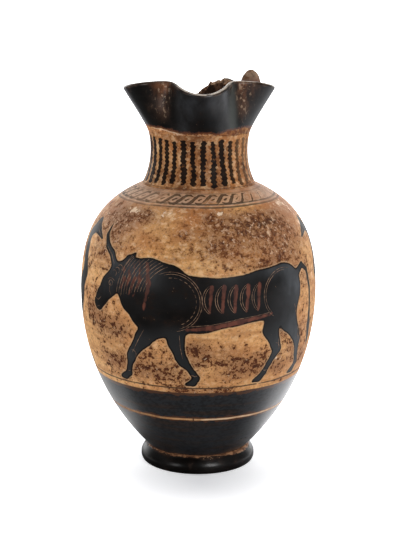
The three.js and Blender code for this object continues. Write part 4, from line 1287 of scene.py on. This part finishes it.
back_share = np.linspace(0, 1, 60)
back_wall = mouth_outer(np.full(60, math.pi), back_share)
wall_heights = np.concatenate([body_outer[:, 1], neck_outer[:, 1], back_wall[:, 2]])
wall_radii = np.concatenate([body_outer[:, 0], neck_outer[:, 0], back_wall[:, 1]])


def outside_wall(points, bite):
    """Points that would come out inside the jug, drawn back to just under its surface."""
    radius = np.hypot(points[..., 0], points[..., 1])
    wall = np.interp(points[..., 2], wall_heights, wall_radii) - bite
    grown = np.maximum(radius, wall) / radius
    moved = points.copy()
    moved[..., :2] *= grown[..., None]
    return moved


def roll_points(side):
    """An oval section carried along the bow: across is +X, through is square to the bow."""
    bow = through_points(HANDLE_BOW, ROLL_STEPS)
    ahead = unit(np.gradient(bow, axis=0))
    share = np.linspace(0, 1, ROLL_STEPS + 1)
    root = np.clip(1 - np.minimum(share, 1 - share) / ROOT_SHARE, 0, 1) ** 2
    height = ROLL_HEIGHT + (ROOT_HEIGHT - ROLL_HEIGHT) * root
    finger = 1 + 0.012 * roughly(share * 160, 11 + side, 4, 37.0)
    angle = np.linspace(0, 2 * math.pi, ROLL_SIDES, endpoint=False)[None, :]
    through = (height / 2 * finger)[:, None] * np.sin(angle)
    across = ROLL_WIDTH / 2 * np.cos(angle) * np.ones_like(finger)[:, None]
    x = side * ROLL_SPACING + across
    y = bow[:, :1] + through * ahead[:, 1:]
    z = bow[:, 1:] - through * ahead[:, :1]
    return outside_wall(np.stack([x, y, z], axis=2), WALL_BITE)


roll_finish, r = new_finish("handle_gloss")
rub = r.noise(r.place(), 40, 4)
skin = r.effect(gloss, worn=r.blend(r.step(rub, 0.5, 0.66), 0.15, 0.5), sheen=0.8)
finish("handle_gloss", skin["colour"], skin["roughness"], skin["height"], r, glaze=0.5)
for side, name in ((-1, "left_roll"), (0, "middle_roll"), (1, "right_roll")):
    roll = clay_form(name, roll_points(side))
    roll.data.materials.append(roll_finish)
    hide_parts("handle_" + name)
    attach(roll, "root")

# ROTELLE
# A small thick disc of clay set upright on the rim beside the handle, the one of two that
# is left. Its gloss is gone, and its face and edge are chipped and grey-brown with soil; its
# colour is darker low down and paler at the top, painted shade and painted light.
DISC_RADIUS = 8.6
DISC_HALF = 4.0
DISC_CROWN = 2.0
DISC_TURN = math.radians(131.5)
DISC_REACH = 56.0
DISC_HEIGHT = 291.0
face_level = -DISC_HALF - DISC_CROWN
disc_half = joined(
    curve((0.3, face_level), (3.4, face_level), (5.0, -DISC_HALF - 0.7), (6.0, -DISC_HALF + 0.1), 12),
    curve((6.0, -DISC_HALF + 0.1), (7.3, -3.1), (DISC_RADIUS, -2.0), (DISC_RADIUS, 0), 14),
)
disc_line = np.vstack([disc_half, (disc_half * [1, -1])[::-1][1:]])
disc_angle = np.linspace(0, 2 * math.pi, 96, endpoint=False)
uneven = 1.065 + 0.028 * np.cos(4 * disc_angle) + 0.02 * np.sin(3 * disc_angle + 1)
uneven += 0.014 * np.sin(7 * disc_angle + 2) + 0.012 * np.sin(13 * disc_angle)
spread = disc_line[:, :1] * uneven * (1 + 0.05 * np.exp(-(((disc_angle - 1.9) / 0.5) ** 2)))
along_axis = disc_line[:, 1:] * (1 + 0.05 * np.sin(2 * disc_angle + 0.5) * (disc_line[:, :1] / DISC_RADIUS))
tangent = np.array([math.cos(DISC_TURN), math.sin(DISC_TURN), 0])
outwards = np.array([math.sin(DISC_TURN), -math.cos(DISC_TURN), 0])
upwards = np.array([0, 0, 1.0])
disc_points = (
    along_axis[..., None] * tangent
    + (spread * np.cos(disc_angle))[..., None] * upwards
    + (spread * np.sin(disc_angle))[..., None] * np.cross(tangent, upwards)
    + outwards * DISC_REACH
    + upwards * DISC_HEIGHT
)
disc = clay_form("rim_disc", disc_points)
disc_finish, d = new_finish("worn_disc")
rubbed = d.noise(d.place(), 170, 8, 0.66)
pale = d.noise(d.place(), 60, 4)
surface = d.effect(clay, stained=1.0)
# painted shade and light: darker purple-grey low down, paler tan at the top
painted_light_height = d.maths("MULTIPLY_ADD", pale, 8.0, height_mm(d))
colour = d.mix(d.step(painted_light_height, 295, 301), (0.095, 0.062, 0.058, 1), (0.23, 0.17, 0.118, 1))
beside = d.node("VectorMath", d.place(), tuple(outwards), operation="DOT_PRODUCT", output="Value")
colour = d.mix(d.step(beside, 0.0605, 0.064), colour, (0.3, 0.19, 0.115, 1))
colour = d.mix(d.step(rubbed, 0.47, 0.6), colour, (0.062, 0.038, 0.026, 1))
colour = d.mix(0.25, colour, surface["colour"])
relief = d.maths("MULTIPLY_ADD", rubbed, 3.0, surface["height"])
finish("worn_disc", colour, d.blend(rubbed, 0.6, 0.85), relief, d, 0.0003)
disc.data.materials.append(disc_finish)
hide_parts("rotelle")
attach(disc, "root")
